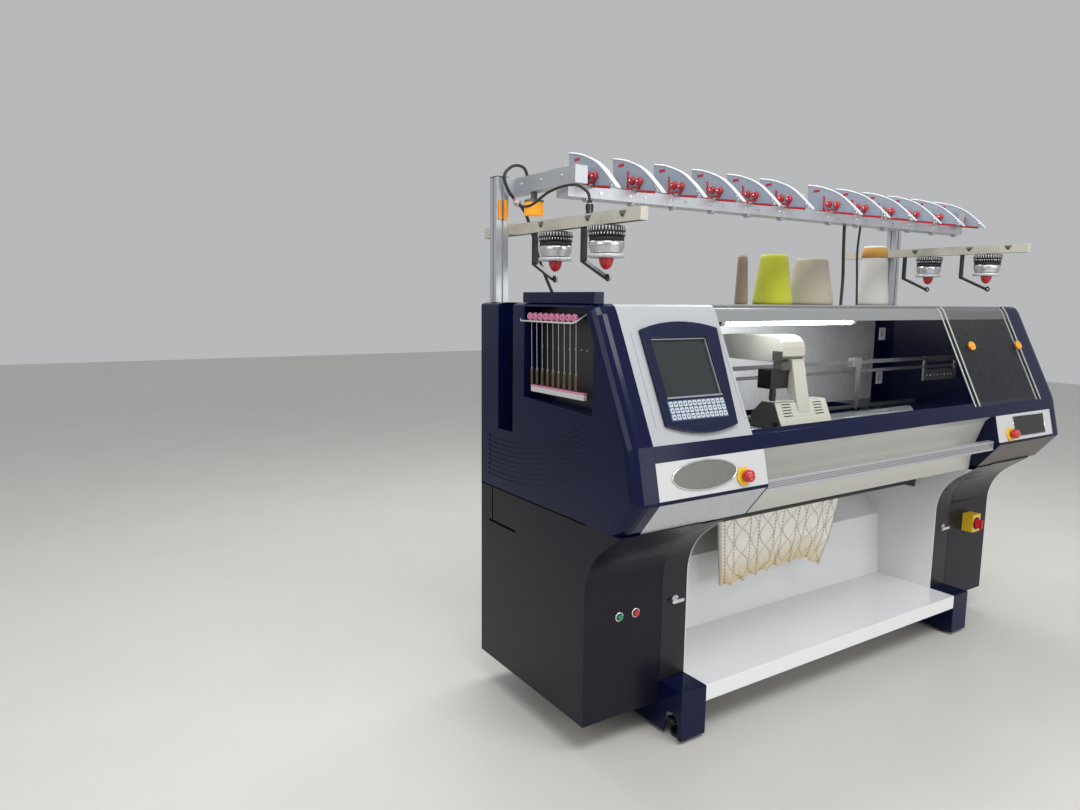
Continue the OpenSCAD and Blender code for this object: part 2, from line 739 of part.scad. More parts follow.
module rear_needle_bed() color([0.62, 0.63, 0.64]) {
    vee(1) needle_bed();
}

module carriage_front_box() color([0.88, 0.87, 0.82]) {
    union() {
        difference() {
            along_x(box_l, box_r) polygon(box_line);
            along_x(box_l + box_wall, box_r - box_wall)
                polygon([[-406, box_low - 1], [box_peak[0] + 4, box_peak[1] - box_wall],
                    [-308, box_peak[1] - box_wall], [-268, 1101], [-268, box_low - 1]]);
            for (x = [box_l + 30, box_r - 78], i = [0:4])
                translate([x, box_peak[0] - 5 - 4.2 * i, box_peak[1] - 12 - 10 * i]) cube([48, 16, 4]);
        }
        block(box_l + 20, box_l + 44, -397, -368, 1040.5, box_low + 6);
        block(box_r - 44, box_r - 20, -397, -368, 1040.5, box_low + 6);
        block(box_l + 1, box_r - 1, -397, -368, box_low, box_low + 6);
    }
}

module carriage_bridge() color([0.9, 0.89, 0.84]) {
    union() {
        along_x(leg_x, beam_r) polygon([[-346, 1300], [-346, 1290], [foot_y - 0.2, foot_z],
            box_peak + [-0.1, 0.2], [-351, box_peak[1] + 0.2], [-300, 1226], [-300, 1300]]);
        along_x(beam_l, beam_r) polygon([[-300, 1290], [-346, 1312], [-346, 1345], [-338, 1364], [-322, 1379],
            [-296, 1387], [-100, 1385], [40, 1374], [105, 1352], [130, 1310], [130, 1280], [95, 1280],
            [95, 1290]]);
        block(beam_l + 35, beam_r - 6, 95, 130, 1010.5, 1281);
    }
}

module carriage_cable_box() color([0.06, 0.06, 0.06]) {
    union() {
        block(-495, leg_x, -332, -272, 1195, 1265);
        translate([-472, -322, 1196]) rotate([17, -152, 0]) cylinder(r = 9, h = 42);
    }
}

module yarn_rails() color([0.75, 0.76, 0.78]) {
    union() {
        block(open_l, open_r, -112, -104, 1240, 1257);
        block(open_l, open_r, -96, -88, 1199, 1213);
        difference() {
            block(open_r - 283, open_r, -104.5, -95.5, 1140, 1258);
            block(open_r - 265, open_r - 18, -106, -94, 1191, 1229);
            for (x = [open_r - 255:30:open_r - 45]) rod_y(-106, -94, x, 1165, 8);
        }
    }
}

module yarn_carrier_front() color([0.7, 0.71, 0.73]) {
    union() {
        difference() {
            block(275, 325, fab_y + 4, -98, 1230, 1268);
            block(274, 326, -112.4, -103.6, 1239.6, 1257.4);
        }
        along_y(fab_y - 1, fab_y + 5)
            polygon([[288, 1268], [288, 1110], [297, 1045], [303, 1045], [312, 1110], [312, 1268]]);
    }
}

module yarn_carrier_rear() color([0.7, 0.71, 0.73]) {
    union() {
        difference() {
            block(-665, -615, -103, -78, 1190, 1222);
            block(-666, -614, -96.4, -87.6, 1198.6, 1213.4);
        }
        block(-652, -628, -84, -78, 1075, 1192);
        block(-652, -628, fab_y + 8, -78, 1070, 1076);
        along_y(fab_y + 8, fab_y + 13) polygon([[-652, 1076], [-643, 1045], [-637, 1045], [-628, 1076]]);
    }
}

module takedown_roller(side) {
    union() {
        rod_x(-680, 680, fab_y + side * roller_y, roller_z, roller_r);
        rod_x(-702, 702, fab_y + side * roller_y, roller_z, 10);
    }
}

module takedown_roller_front() color([0.15, 0.15, 0.16]) {
    takedown_roller(-1);
}

module takedown_roller_rear() color([0.15, 0.15, 0.16]) {
    takedown_roller(1);
}

module post_section() {
    difference() {
        square([post_w, post_w], center = true);
        for (a = [0:90:270]) rotate(a) translate([post_w / 2 - 6, -4]) square([7, 8]);
    }
}

module yarn_stand() color([0.78, 0.8, 0.82]) {
    union() {
        both_sides() {
            translate([-post_x, post_y, table_z]) linear_extrude(post_z - table_z) post_section();
            block(-post_x + post_w / 2 - 1, -arm_x - 24, post_y - 20, post_y + 20, rail_top, post_z);
            block(-arm_x - 25, -arm_x + 25, -60, post_y + 39, rail_top, post_z);
        }
        block(-arm_x - 25, fins_x[11] + 30, rail_y0, rail_y1, rail_top - rail_h, rail_top);
        for (x = fins_x) rod_x(x - 22, x - 8, rail_y0 + 16, rail_top - rail_h, 14);
    }
}

fin_top = [[-150, -17], [-95, 34], [-33, 80], [50, 114], [124, 130]];

module tensioner_plates() color([0.66, 0.71, 0.78]) {
    for (x = fins_x) translate([0, 0, rail_top]) union() {
        along_x(x, x + 3) polygon(concat(fin_top, [[116, 31], [rail_y1, 0], [rail_y0, 0]]));
        along_x(x, x + 20) polygon(band(fin_top, 0, 3));
    }
}

module tensioner_discs() color([0.8, 0.08, 0.08]) {
    for (x = fins_x) translate([x, 0, rail_top]) union() {
        rod_x(-14, 0, 3, 38, 15);
        rod_x(-14, 0, -33, 30, 15);
        block(-6, 0, -40, 60, 4, 14);
        block(-6, 0, 32, 40, 10, 72);
        rod_x(-5, 0, -15, 10, 8);
        block(-5, 0, -33, 3, 10, 30);
    }
}

module feeder_bracket(y) {
    along_x(-arm_x - 4, -arm_x + 4) polygon([for (p = [[4, 1], [-4, 1], [-4, -107], [-125, -163],
        [-125, -171], [4, -113]]) [y + p[0], arm_z + p[1]]]);
    translate([0, y - 134, arm_z - 167]) difference() {
        rod_x(-arm_x - 4, -arm_x + 4, 0, 0, 12);
        rod_x(-arm_x - 5, -arm_x + 5, 0, 0, 6);
    }
}

module feeder_arms() color([0.8, 0.81, 0.82]) {
    both_sides() difference() {
        union() {
            block(-arm_x - 15, -arm_x + 15, -384, 577.2, arm_z, arm_z + arm_h);
            block(-post_x + post_w / 2, -arm_x - 14, post_y - 20, post_y + 20, arm_z, arm_z + arm_h);
            feeder_bracket(drums_y[0] + 134);
            feeder_bracket(drums_y[1] + 123);
        }
        for (y = drums_y) translate([-arm_x, y, arm_z - 5]) cylinder(r = 6 + shaft_gap, h = 20);
    }
    translate(plug_at) union() {
        cylinder(r = 11, h = 34);
        cylinder(r = 7, h = 44.5);
    }
}

module feeder_drum(x, y) {
    translate([x, y, arm_z]) union() {
        translate([0, 0, -39]) cylinder(r = drum_r, h = 34);
        translate([0, 0, -95]) cylinder(r = 34, h = 57);
        translate([0, 0, -105]) cylinder(r = drum_r - 2, h = 12);
        translate([0, 0, -145]) cylinder(r1 = 18, r2 = 24, h = 41);
        translate([0, 0, -6]) cylinder(r = 6, h = 19);
    }
}

module feeder_drum_1() color([0.2, 0.2, 0.2]) {
    feeder_drum(-arm_x, drums_y[0]);
}

module feeder_drum_2() color([0.2, 0.2, 0.2]) {
    feeder_drum(-arm_x, drums_y[1]);
}

module feeder_drum_3() color([0.2, 0.2, 0.2]) {
    feeder_drum(arm_x, drums_y[0]);
}

module feeder_drum_4() color([0.2, 0.2, 0.2]) {
    feeder_drum(arm_x, drums_y[1]);
}

module signal_lamp() color([0.95, 0.45, 0.1]) {
    union() {
        translate([-arm_x, 232, 0]) {
            translate([0, 0, rail_top - 82]) cylinder(r = 36, h = 58);
            translate([0, 0, rail_top - 25]) cylinder(r = 12, h = 25);
        }
    }
    translate([-post_x - 18, post_y - post_w / 2 - 6, rail_top - 95]) cube([36, 6, 71]);
}

module side_tensioner() color([0.6, 0.6, 0.62]) {
    block(-half_len + 13, -half_len + 50, -293, 121, table_z, table_z + 36);
    union() {
        along_x(-half_len + 64, -half_len + 70) tension_recess(-6);
        block(-half_len + 20, -half_len + 65, -225, 82, table_z - 49, table_z - 45);
        block(-half_len + 14, -half_len + 26, -246, 66, table_z - 305, table_z - 279);
        block(-half_len + 20, -half_len + 65, -230, -218, table_z - 299, table_z - 287);
        block(-half_len + 20, -half_len + 65, 30, 42, table_z - 299, table_z - 287);
        for (k = [0:8]) translate([-half_len, 70 - 33 * k, table_z]) {
            rod_x(14, 22, 0, -47, 11);
            translate([20, 0, -280]) cylinder(r = 5, h = 50);
            translate([20, 0, -231]) cylinder(r = 1.2, h = 180);
        }
    }
}

module cone(x, y, r0, r1, h) {
    translate([x, y, table_z]) {
        cylinder(r1 = r0, r2 = r1, h = h - 6);
        translate([0, 0, h - 6]) cylinder(r1 = r1, r2 = r1 - 8, h = 6);
    }
}

module yarn_cones() color([0.8, 0.8, 0.6]) {
    union() cone(20, 300, 30, 22, 220);
    union() cone(230, 300, 92, 62, 232);
    union() cone(500, 300, 112, 76, 224);
    union() cone(1005, 300, 92, 58, 305);
}

module knitted_fabric() color([0.85, 0.78, 0.66]) {
    union() {
        along_y(fab_y - 1, fab_y + 1) polygon([[-520, bed_z - 6], [-520, 649], [-498, 391], [-405, 394],
            [-316, 409], [-227, 414], [-120, 424], [-3, 429], [50, 398], [103, 376], [140, 432], [172, 474],
            [234, 655], [255, 760], [255, bed_z - 6]]);
        block(-520, 255, fab_y - bed_gap, fab_y + bed_gap, bed_z - 9, bed_z - 5);
    }
}

module stand_cables() color([0.05, 0.05, 0.05]) {
    cord(spline(lamp_route, 2), 6);
    cord(spline(plug_route, 1), 5);
    cord(spline(thick_route, 4), 7);
    cord(spline(thin_route, 4), 5);
}

base_frame();
levelling_pads();
bay_liner();
fabric_shelf();
left_cabinet();
right_cabinet();
left_leg_cover();
right_leg_cover();
wing_lock_left();
wing_lock_right();
start_button();
stop_button();
main_switch_box();
main_switch_knob();
left_housing();
right_housing();
under_panels();
front_beam();
front_apron();
operating_bar();
name_plates();
badges();
e_stop_bases();
e_stop_head_left();
e_stop_head_right();
control_bezel();
display_frame();
display_screen();
keypad();
yarn_table();
rear_cover();
back_panel();
sliding_cover_outer();
sliding_cover_inner();
cover_knobs();
light_tube();
bed_frame();
front_needle_bed();
rear_needle_bed();
carriage_front_box();
carriage_bridge();
carriage_cable_box();
yarn_rails();
yarn_carrier_front();
yarn_carrier_rear();
takedown_roller_front();
takedown_roller_rear();
yarn_stand();
tensioner_plates();
tensioner_discs();
feeder_arms();
feeder_drum_1();
feeder_drum_2();
feeder_drum_3();
feeder_drum_4();
signal_lamp();
side_tensioner();
yarn_cones();
knitted_fabric();
stand_cables();
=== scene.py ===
"""Looks of the flat knitting machine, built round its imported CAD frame. Metres, the CAD's own frame."""
import json
import math

import bmesh
import bpy
from mathutils import Matrix, Vector


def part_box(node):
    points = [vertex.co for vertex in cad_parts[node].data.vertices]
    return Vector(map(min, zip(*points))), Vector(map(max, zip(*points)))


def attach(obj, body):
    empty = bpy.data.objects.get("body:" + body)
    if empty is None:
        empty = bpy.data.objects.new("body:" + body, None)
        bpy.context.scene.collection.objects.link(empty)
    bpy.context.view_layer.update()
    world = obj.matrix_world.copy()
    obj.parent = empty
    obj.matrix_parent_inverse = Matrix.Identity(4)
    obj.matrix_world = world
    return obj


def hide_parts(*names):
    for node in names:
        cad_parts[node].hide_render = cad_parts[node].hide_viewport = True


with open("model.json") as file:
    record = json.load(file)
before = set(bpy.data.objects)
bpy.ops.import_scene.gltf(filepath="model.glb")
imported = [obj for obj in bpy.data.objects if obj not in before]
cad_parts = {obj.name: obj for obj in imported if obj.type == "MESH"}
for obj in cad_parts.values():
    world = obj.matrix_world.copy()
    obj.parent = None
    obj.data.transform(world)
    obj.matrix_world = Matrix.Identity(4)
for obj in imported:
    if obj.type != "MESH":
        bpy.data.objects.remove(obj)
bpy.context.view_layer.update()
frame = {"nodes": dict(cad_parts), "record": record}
scene = bpy.context.scene

# Camera, at the photograph's angle. Places in metres, lens and sensor in millimetres
CAMERA_AT = Vector((-2.6881, -2.1962, 1.505))
FORWARD = Vector((0.5387, 0.8316, -0.1350)).normalized()
ROLL = math.radians(0.58)
LENS = 25.72
SENSOR = 36.0
VIEW_DEPTH = 60.0
camera_data = bpy.data.cameras.new("camera")
camera_data.lens = LENS
camera_data.sensor_width = SENSOR
camera_data.clip_end = VIEW_DEPTH
camera = bpy.data.objects.new("camera", camera_data)
level = FORWARD.cross(Vector((0.0, 0.0, 1.0))).normalized()
right = (level * math.cos(ROLL) + level.cross(FORWARD) * math.sin(ROLL)).normalized()
up = right.cross(FORWARD).normalized()
camera.matrix_world = Matrix.Translation(CAMERA_AT) @ Matrix((right, up, -FORWARD)).transposed().to_4x4()
scene.collection.objects.link(camera)
scene.camera = camera


# Materials
def new_material(name):
    """A material with its nodes, its links and its shader."""
    m = bpy.data.materials.new(name)
    m.use_nodes = True
    return m, m.node_tree.nodes, m.node_tree.links, m.node_tree.nodes["Principled BSDF"]


def coords(nodes, links, scale):
    """The piece's own coordinates, scaled along each axis."""
    where = nodes.new("ShaderNodeTexCoord")
    mapping = nodes.new("ShaderNodeMapping")
    mapping.inputs["Scale"].default_value = scale
    links.new(where.outputs["Object"], mapping.inputs["Vector"])
    return mapping.outputs["Vector"]


def noise(nodes, links, scale, size=1.0, detail=3.0):
    """Soft noise over the piece, stretched where a scale is below 1."""
    n = nodes.new("ShaderNodeTexNoise")
    n.inputs["Scale"].default_value = size
    n.inputs["Detail"].default_value = detail
    links.new(coords(nodes, links, scale), n.inputs["Vector"])
    return n.outputs["Fac"]


def ramp(nodes, links, fac, low, high, at=(0.3, 0.7)):
    """A blend from one colour to another as a value rises between two places."""
    r = nodes.new("ShaderNodeValToRGB")
    r.color_ramp.elements[0].position = at[0]
    r.color_ramp.elements[1].position = at[1]
    r.color_ramp.elements[0].color = (*low, 1.0)
    r.color_ramp.elements[1].color = (*high, 1.0)
    links.new(fac, r.inputs["Fac"])
    return r.outputs["Color"]


def bump(nodes, links, shader, height, strength, distance):
    """Fine relief in the shader's normal, from a height."""
    b = nodes.new("ShaderNodeBump")
    b.inputs["Strength"].default_value = strength
    b.inputs["Distance"].default_value = distance
    links.new(height, b.inputs["Height"])
    links.new(b.outputs["Normal"], shader.inputs["Normal"])
    return b


def shade(color, k):
    """A colour made k times as bright."""
    return tuple(min(1.0, c * k) for c in color)


def solid(name, color, rough, metal=0.0, coat=0.0, vary=0.06, grain=(1, 1, 1), size=60.0, relief=0.0,
          spread=0.008, spec=0.5):
    """Paint, plastic or metal with a faint change of colour and roughness over it."""
    m, nodes, links, shader = new_material(name)
    fac = noise(nodes, links, grain, size)
    tint = ramp(nodes, links, fac, shade(color, 1 - vary), shade(color, 1 + vary))
    links.new(tint, shader.inputs["Base Color"])
    rough_ramp = ramp(nodes, links, noise(nodes, links, grain, size * 0.13, 5.0), (rough - spread,) * 3,
                      (rough + spread,) * 3)
    links.new(rough_ramp, shader.inputs["Roughness"])
    shader.inputs["Metallic"].default_value = metal
    shader.inputs["Coat Weight"].default_value = coat
    shader.inputs["Coat Roughness"].default_value = 0.08
    shader.inputs["Specular IOR Level"].default_value = spec
    if relief:
        bump(nodes, links, shader, noise(nodes, links, grain, size * 2.0, 2.0), relief, 0.001)
    return m


def clear(name, color, alpha, rough=0.05):
    """A clear sheet, faintly tinted."""
    m, nodes, links, shader = new_material(name)
    fac = noise(nodes, links, (1, 1, 1), 3.0)
    links.new(ramp(nodes, links, fac, shade(color, 0.94), color), shader.inputs["Base Color"])
    shader.inputs["Roughness"].default_value = rough
    shader.inputs["Alpha"].default_value = alpha
    shader.inputs["Specular IOR Level"].default_value = 0.6
    return m


def glow(name, color, strength):
    """A lit surface."""
    m, nodes, links, shader = new_material(name)
    links.new(ramp(nodes, links, noise(nodes, links, (1, 1, 1), 8.0), shade(color, 0.97), color),
              shader.inputs["Base Color"])
    shader.inputs["Emission Color"].default_value = (*color, 1.0)
    shader.inputs["Emission Strength"].default_value = strength
    return m


# Paints
navy = solid("navy_gloss", (0.003, 0.005, 0.032), 0.18, coat=0.1, spec=0.16)
charcoal = solid("charcoal_satin", (0.007, 0.0065, 0.014), 0.3, coat=0.05, relief=0.04, size=140.0,
                 spec=0.18)
strip_black = solid("strip_black", (0.008, 0.008, 0.012), 0.35, relief=0.05, size=140.0, spec=0.4)
white_gloss = solid("white_gloss", (0.8, 0.81, 0.82), 0.22, coat=0.3, vary=0.012)
off_white = solid("off_white", (0.54, 0.545, 0.55), 0.3, coat=0.1, vary=0.012)
grey_panel = solid("grey_panel", (0.36, 0.38, 0.4), 0.4, vary=0.05, relief=0.04)
beige_panel = solid("beige_panel", (0.5, 0.5, 0.46), 0.3, coat=0.2, vary=0.012)

# Metals and rubber
aluminium = solid("aluminium", (0.62, 0.63, 0.65), 0.3, metal=0.9, grain=(0.2, 1, 1), size=120.0,
                  spread=0.08)
post_aluminium = solid("post_aluminium", (0.55, 0.57, 0.6), 0.38, metal=0.75, grain=(1, 1, 0.1), size=160.0)
brushed = solid("brushed_steel", (0.6, 0.61, 0.62), 0.36, metal=0.35, grain=(1, 1, 0.06), size=260.0,
                vary=0.14, spread=0.1)
bed_steel = solid("bed_steel", (0.5, 0.51, 0.52), 0.3, metal=0.95, grain=(1, 0.1, 0.1), size=200.0,
                  vary=0.12)
cast = solid("cast_grey", (0.06, 0.065, 0.07), 0.5, vary=0.15, relief=0.2, size=90.0)
chrome = solid("chrome", (0.75, 0.75, 0.77), 0.12, metal=1.0, spread=0.03)
rubber = solid("rubber_black", (0.012, 0.012, 0.013), 0.6, vary=0.2, relief=0.2)

# Plastics, ceramics and lamps
black_plastic = solid("black_plastic", (0.012, 0.012, 0.014), 0.38, relief=0.08)
ivory = solid("ivory_plastic", (0.5, 0.49, 0.42), 0.34, coat=0.1, vary=0.015)
red = solid("red_plastic", (0.5, 0.012, 0.02), 0.3, coat=0.3, vary=0.08)
yellow = solid("yellow_plastic", (0.78, 0.5, 0.02), 0.35, coat=0.2, vary=0.05)
green = solid("green_plastic", (0.01, 0.22, 0.09), 0.3, coat=0.3)
orange = solid("orange_plastic", (0.85, 0.3, 0.015), 0.32, coat=0.3, vary=0.06)
badge_grey = solid("badge_grey", (0.12, 0.125, 0.12), 0.3, coat=0.3, vary=0.08)
display_navy = solid("display_navy", (0.006, 0.009, 0.034), 0.25, coat=0.1, relief=0.02, spec=0.25)
screen_grey = solid("screen_grey", (0.028, 0.031, 0.033), 0.2, coat=0.05, vary=0.04, spec=0.3)
key_grey = solid("key_grey", (0.5, 0.52, 0.54), 0.4, vary=0.05)
fin_blue = solid("fin_blue", (0.33, 0.38, 0.46), 0.32, coat=0.2, vary=0.05, relief=0.02)
pink = solid("pink_ceramic", (0.62, 0.2, 0.34), 0.25, coat=0.4)
brass = solid("brass_spring", (0.32, 0.25, 0.13), 0.35, metal=0.8)
cover_clear = clear("cover_clear", (0.075, 0.08, 0.075), 0.1)
tube_light = glow("tube_light", (0.9, 0.97, 1.0), 26.0)


def woven(name, color, dark, scale):
    """Yarn wound on a cone: crossing threads, from the piece's own place."""
    m, nodes, links, shader = new_material(name)
    where = nodes.new("ShaderNodeTexCoord")
    heights = []
    for tilt in (0.35, -0.35):
        mapping = nodes.new("ShaderNodeMapping")
        mapping.inputs["Rotation"].default_value = (tilt, tilt, 0.0)
        links.new(where.outputs["Object"], mapping.inputs["Vector"])
        wave = nodes.new("ShaderNodeTexWave")
        wave.bands_direction = "Z"
        wave.inputs["Scale"].default_value = scale
        wave.inputs["Distortion"].default_value = 1.5
        links.new(mapping.outputs["Vector"], wave.inputs["Vector"])
        heights.append(wave.outputs["Fac"])
    both = nodes.new("ShaderNodeMath")
    both.operation = "MULTIPLY"
    links.new(heights[0], both.inputs[0])
    links.new(heights[1], both.inputs[1])
    links.new(ramp(nodes, links, both.outputs[0], dark, color, (0.0, 0.5)), shader.inputs["Base Color"])
    shader.inputs["Roughness"].default_value = 0.8
    shader.inputs["Sheen Weight"].default_value = 0.3
    bump(nodes, links, shader, both.outputs[0], 0.6, 0.002)
    return m


def knitted(name):
    """Cream knit: painted shade in the pattern's grooves, dark brown where they are deep, a yellow hem and
    darker side edges from the mesh; stitches and fibre from noise.
    """
    m, nodes, links, shader = new_material(name)
    layer = nodes.new("ShaderNodeAttribute")
    layer.attribute_name = "knit"
    split = nodes.new("ShaderNodeSeparateColor")
    links.new(layer.outputs["Color"], split.inputs["Color"])
    base = ramp(nodes, links, noise(nodes, links, (1, 1, 1), 40.0), (0.88, 0.84, 0.76), (0.96, 0.94, 0.88))
    # Red, the groove depth, paints shade dark brown in the grooves; green tints the hem yellow; blue darkens
    # the side edges
    shade_and_tints = {"Green": (0.70, 0.56, 0.33), "Red": (0.27, 0.19, 0.12), "Blue": (0.30, 0.25, 0.20)}
    for channel, color in shade_and_tints.items():
        mix = nodes.new("ShaderNodeMix")
        mix.data_type = "RGBA"
        links.new(split.outputs[channel], mix.inputs["Factor"])
        links.new(base, mix.inputs["A"])
        mix.inputs["B"].default_value = (*color, 1.0)
        base = mix.outputs["Result"]
    links.new(base, shader.inputs["Base Color"])
    shader.inputs["Roughness"].default_value = 0.85
    shader.inputs["Sheen Weight"].default_value = 0.4
    stitch = nodes.new("ShaderNodeTexVoronoi")
    stitch.inputs["Scale"].default_value = 1.0
    links.new(coords(nodes, links, (260, 260, 330)), stitch.inputs["Vector"])
    bump(nodes, links, shader, stitch.outputs["Distance"], 0.5, 0.001)
    return m


def split_colours(name, first, second, axis, at, rough):
    """One colour below a place on an axis, in metres, and another above it."""
    m, nodes, links, shader = new_material(name)
    where = nodes.new("ShaderNodeTexCoord")
    parts = nodes.new("ShaderNodeSeparateXYZ")
    links.new(where.outputs["Object"], parts.inputs["Vector"])
    above = nodes.new("ShaderNodeMath")
    above.operation = "GREATER_THAN"
    above.inputs[1].default_value = at
    links.new(parts.outputs[axis], above.inputs[0])
    grain = noise(nodes, links, (1, 1, 1), 60.0)
    mix = nodes.new("ShaderNodeMix")
    mix.data_type = "RGBA"
    links.new(above.outputs[0], mix.inputs["Factor"])
    links.new(ramp(nodes, links, grain, shade(first, 0.94), shade(first, 1.06)), mix.inputs["A"])
    links.new(ramp(nodes, links, grain, shade(second, 0.94), shade(second, 1.06)), mix.inputs["B"])
    links.new(mix.outputs["Result"], shader.inputs["Base Color"])
    shader.inputs["Roughness"].default_value = rough
    bump(nodes, links, shader, noise(nodes, links, (1, 1, 1), 150.0, 2.0), 0.05, 0.001)
    return m


# Yarn, cloth and single pieces
cable_black = solid("cable_black", (0.014, 0.014, 0.015), 0.45, vary=0.2, relief=0.1)
knit_cloth = knitted("knit_cloth")
yarn_tan = woven("yarn_tan", (0.36, 0.28, 0.19), (0.2, 0.15, 0.1), 90.0)
yarn_lime = woven("yarn_lime", (0.72, 0.72, 0.03), (0.4, 0.42, 0.02), 90.0)
yarn_beige = woven("yarn_beige", (0.62, 0.57, 0.45), (0.38, 0.34, 0.26), 90.0)
yarn_orange = woven("yarn_orange", (0.78, 0.42, 0.08), (0.5, 0.24, 0.04), 90.0)
yarn_white = woven("yarn_white", (0.82, 0.8, 0.76), (0.56, 0.54, 0.5), 90.0)
fin_white = solid("fin_white", (0.72, 0.74, 0.77), 0.3, coat=0.2, vary=0.03)
gap_black = solid("gap_black", (0.0008, 0.0008, 0.001), 0.8, spec=0.03)
wire_grey = solid("wire_grey", (0.3, 0.31, 0.33), 0.35, metal=0.4)
key_blue = solid("key_blue", (0.05, 0.1, 0.2), 0.4)
lamp_orange = glow("lamp_orange", (0.9, 0.36, 0.02), 0.35)
knob_amber = solid("knob_amber", (0.85, 0.36, 0.01), 0.3, coat=0.3)
cover_edge = solid("cover_edge", (0.6, 0.63, 0.58), 0.3, coat=0.3, vary=0.03)
# Painted shade, dark grey: sheets and blocks on the carriage's shaded faces and in the bar's grooves
painted_shade_grey = solid("painted_shade_grey", (0.075, 0.07, 0.06), 0.45, vary=0.1, relief=0.06)
bar_silver = solid("bar_silver", (0.5, 0.51, 0.54), 0.26, metal=0.5, vary=0.02)
rail_steel = solid("rail_steel", (0.3, 0.305, 0.32), 0.2, metal=0.8)
bezel_grey = solid("bezel_grey", (0.4, 0.41, 0.43), 0.28, coat=0.2, vary=0.012)
table_grey = solid("table_grey", (0.3, 0.31, 0.31), 0.25, metal=0.4, coat=0.1, vary=0.015)
arm_paint = split_colours("arm_paint", (0.012, 0.012, 0.014), (0.52, 0.5, 0.42), "Z", 1.7452, 0.4)
# Under-panels: painted reflection, light grey on the left below x 0; their own dark paint on the right above
# it
panel_painted_reflection = split_colours("panel_painted_reflection", (0.5, 0.51, 0.53), (0.075, 0.065, 0.055), "X", 0.0, 0.4)
badge_paint = split_colours("badge_paint", (0.14, 0.145, 0.13), (0.014, 0.014, 0.016), "X", 0.0, 0.3)

# Looks of the nodes that differ from their slot's, then of the slots
OWN_LOOK = {"feeder_arms": arm_paint, "under_panels": panel_painted_reflection, "badges": badge_paint,
            "yarn_table": table_grey, "operating_bar": bar_silver, "yarn_rails": rail_steel,
            "control_bezel": bezel_grey}

SLOT_LOOK = {
    "frame_navy": navy, "charcoal": charcoal, "black_strip": strip_black, "white_sheet": white_gloss,
    "off_white": off_white, "rubber_black": rubber, "chrome": chrome, "green": green, "red": red,
    "yellow": yellow, "grey_sheet": grey_panel, "beige_sheet": beige_panel, "aluminium": aluminium,
    "badge_grey": badge_grey,
    "frame_plastic": display_navy, "screen": screen_grey, "membrane": key_grey, "steel": brushed,
    "cover_clear": cover_clear, "orange": orange, "lamp": tube_light, "cast": cast, "bed_steel": bed_steel,
    "ivory": ivory, "black_plastic": black_plastic, "fin_blue": fin_blue, "yarn": ivory, "knit": ivory,
    "stand_alu": post_aluminium,
}
slot_of = {p["node"]: p["material_slot"] for p in frame["record"]["subparts"]}
for node, obj in frame["nodes"].items():
    obj.data.materials.clear()
    obj.data.materials.append(OWN_LOOK.get(node, SLOT_LOOK[slot_of[node]]))


# Shapes, in millimetres
MM = 0.001


def box(low, high):
    """A block between two corners."""
    points = [(x, y, z) for x in (low[0], high[0]) for y in (low[1], high[1]) for z in (low[2], high[2])]
    return points, [(0, 1, 3, 2), (4, 6, 7, 5), (0, 4, 5, 1), (2, 3, 7, 6), (0, 2, 6, 4), (1, 5, 7, 3)]


def prism(outline, a, b, along="x"):
    """An outline of (y, z), (x, z) or (x, y) points, carried from a to b along x, y or z."""
    places = {"x": lambda u, v, w: (w, u, v), "y": lambda u, v, w: (u, w, v), "z": lambda u, v, w: (u, v, w)}
    place = places[along]
    n = len(outline)
    points = [place(u, v, w) for w in (a, b) for u, v in outline]
    sides = [(i, (i + 1) % n, n + (i + 1) % n, n + i) for i in range(n)]
    return points, [tuple(range(n)), tuple(range(2 * n - 1, n - 1, -1)), *sides]


def lathe(profile, at=(0, 0, 0), axis="z", n=32):
    """A profile of (radius, height) points, closed or with both ends at radius 0, turned round an axis."""
    places = {"x": lambda c, s, h: (h, c, s), "y": lambda c, s, h: (c, h, s), "z": lambda c, s, h: (c, s, h)}
    place = places[axis]
    points, rings = [], []
    for r, h in profile:
        count = 1 if r == 0 else n
        rings.append(list(range(len(points), len(points) + count)))
        for j in range(count):
            a = math.tau * j / n
            points.append(tuple(c + p for c, p in zip(at, place(r * math.cos(a), r * math.sin(a), h))))
    pairs = list(zip(rings, rings[1:]))
    if profile[0][0] and profile[-1][0]:
        pairs.append((rings[-1], rings[0]))
    faces = []
    for low, high in pairs:
        for j in range(n):
            k = (j + 1) % n
            corners = [low[j % len(low)], low[k % len(low)], high[k % len(high)], high[j % len(high)]]
            unique = [c for i, c in enumerate(corners) if c not in corners[:i]]
            if len(unique) > 2:
                faces.append(tuple(unique))
    return points, faces


def stud(at, radius, depth, axis, n=12):
    """A round head that reaches a depth back from a point, against the axis."""
    return lathe([(0, -depth), (radius, -depth), (radius, 0), (0, 0)], at, axis, n)


def ring(centre, wide, high, n=12):
    """Points of an oval in the plane that faces along x, from its half width and half height."""
    x, y, z = centre
    turns = [math.tau * k / n for k in range(n)]
    return [(x, y + wide * math.cos(a), z + high * math.sin(a)) for a in turns]


def pipe(route, radius, n=8, closed=False):
    """A round bar along a route, its ends capped unless it closes on itself."""
    route = [Vector(p) for p in route]
    count = len(route)
    points, side = [], None
    for i, p in enumerate(route):
        before = route[i - 1] if closed or i else p
        after = route[(i + 1) % count] if closed or i < count - 1 else p
        along = (after - before).normalized()
        if side is None:
            side = along.orthogonal().normalized()
        side = (side - along * side.dot(along)).normalized()
        other = along.cross(side)
        for j in range(n):
            a = math.tau * j / n
            points.append(p + radius * (math.cos(a) * side + math.sin(a) * other))
    faces = []
    for i in range(count if closed else count - 1):
        k = (i + 1) % count
        faces += [(i * n + j, i * n + (j + 1) % n, k * n + (j + 1) % n, k * n + j) for j in range(n)]
    if not closed:
        faces += [tuple(range(n - 1, -1, -1)), tuple(range((count - 1) * n, count * n))]
    return points, faces


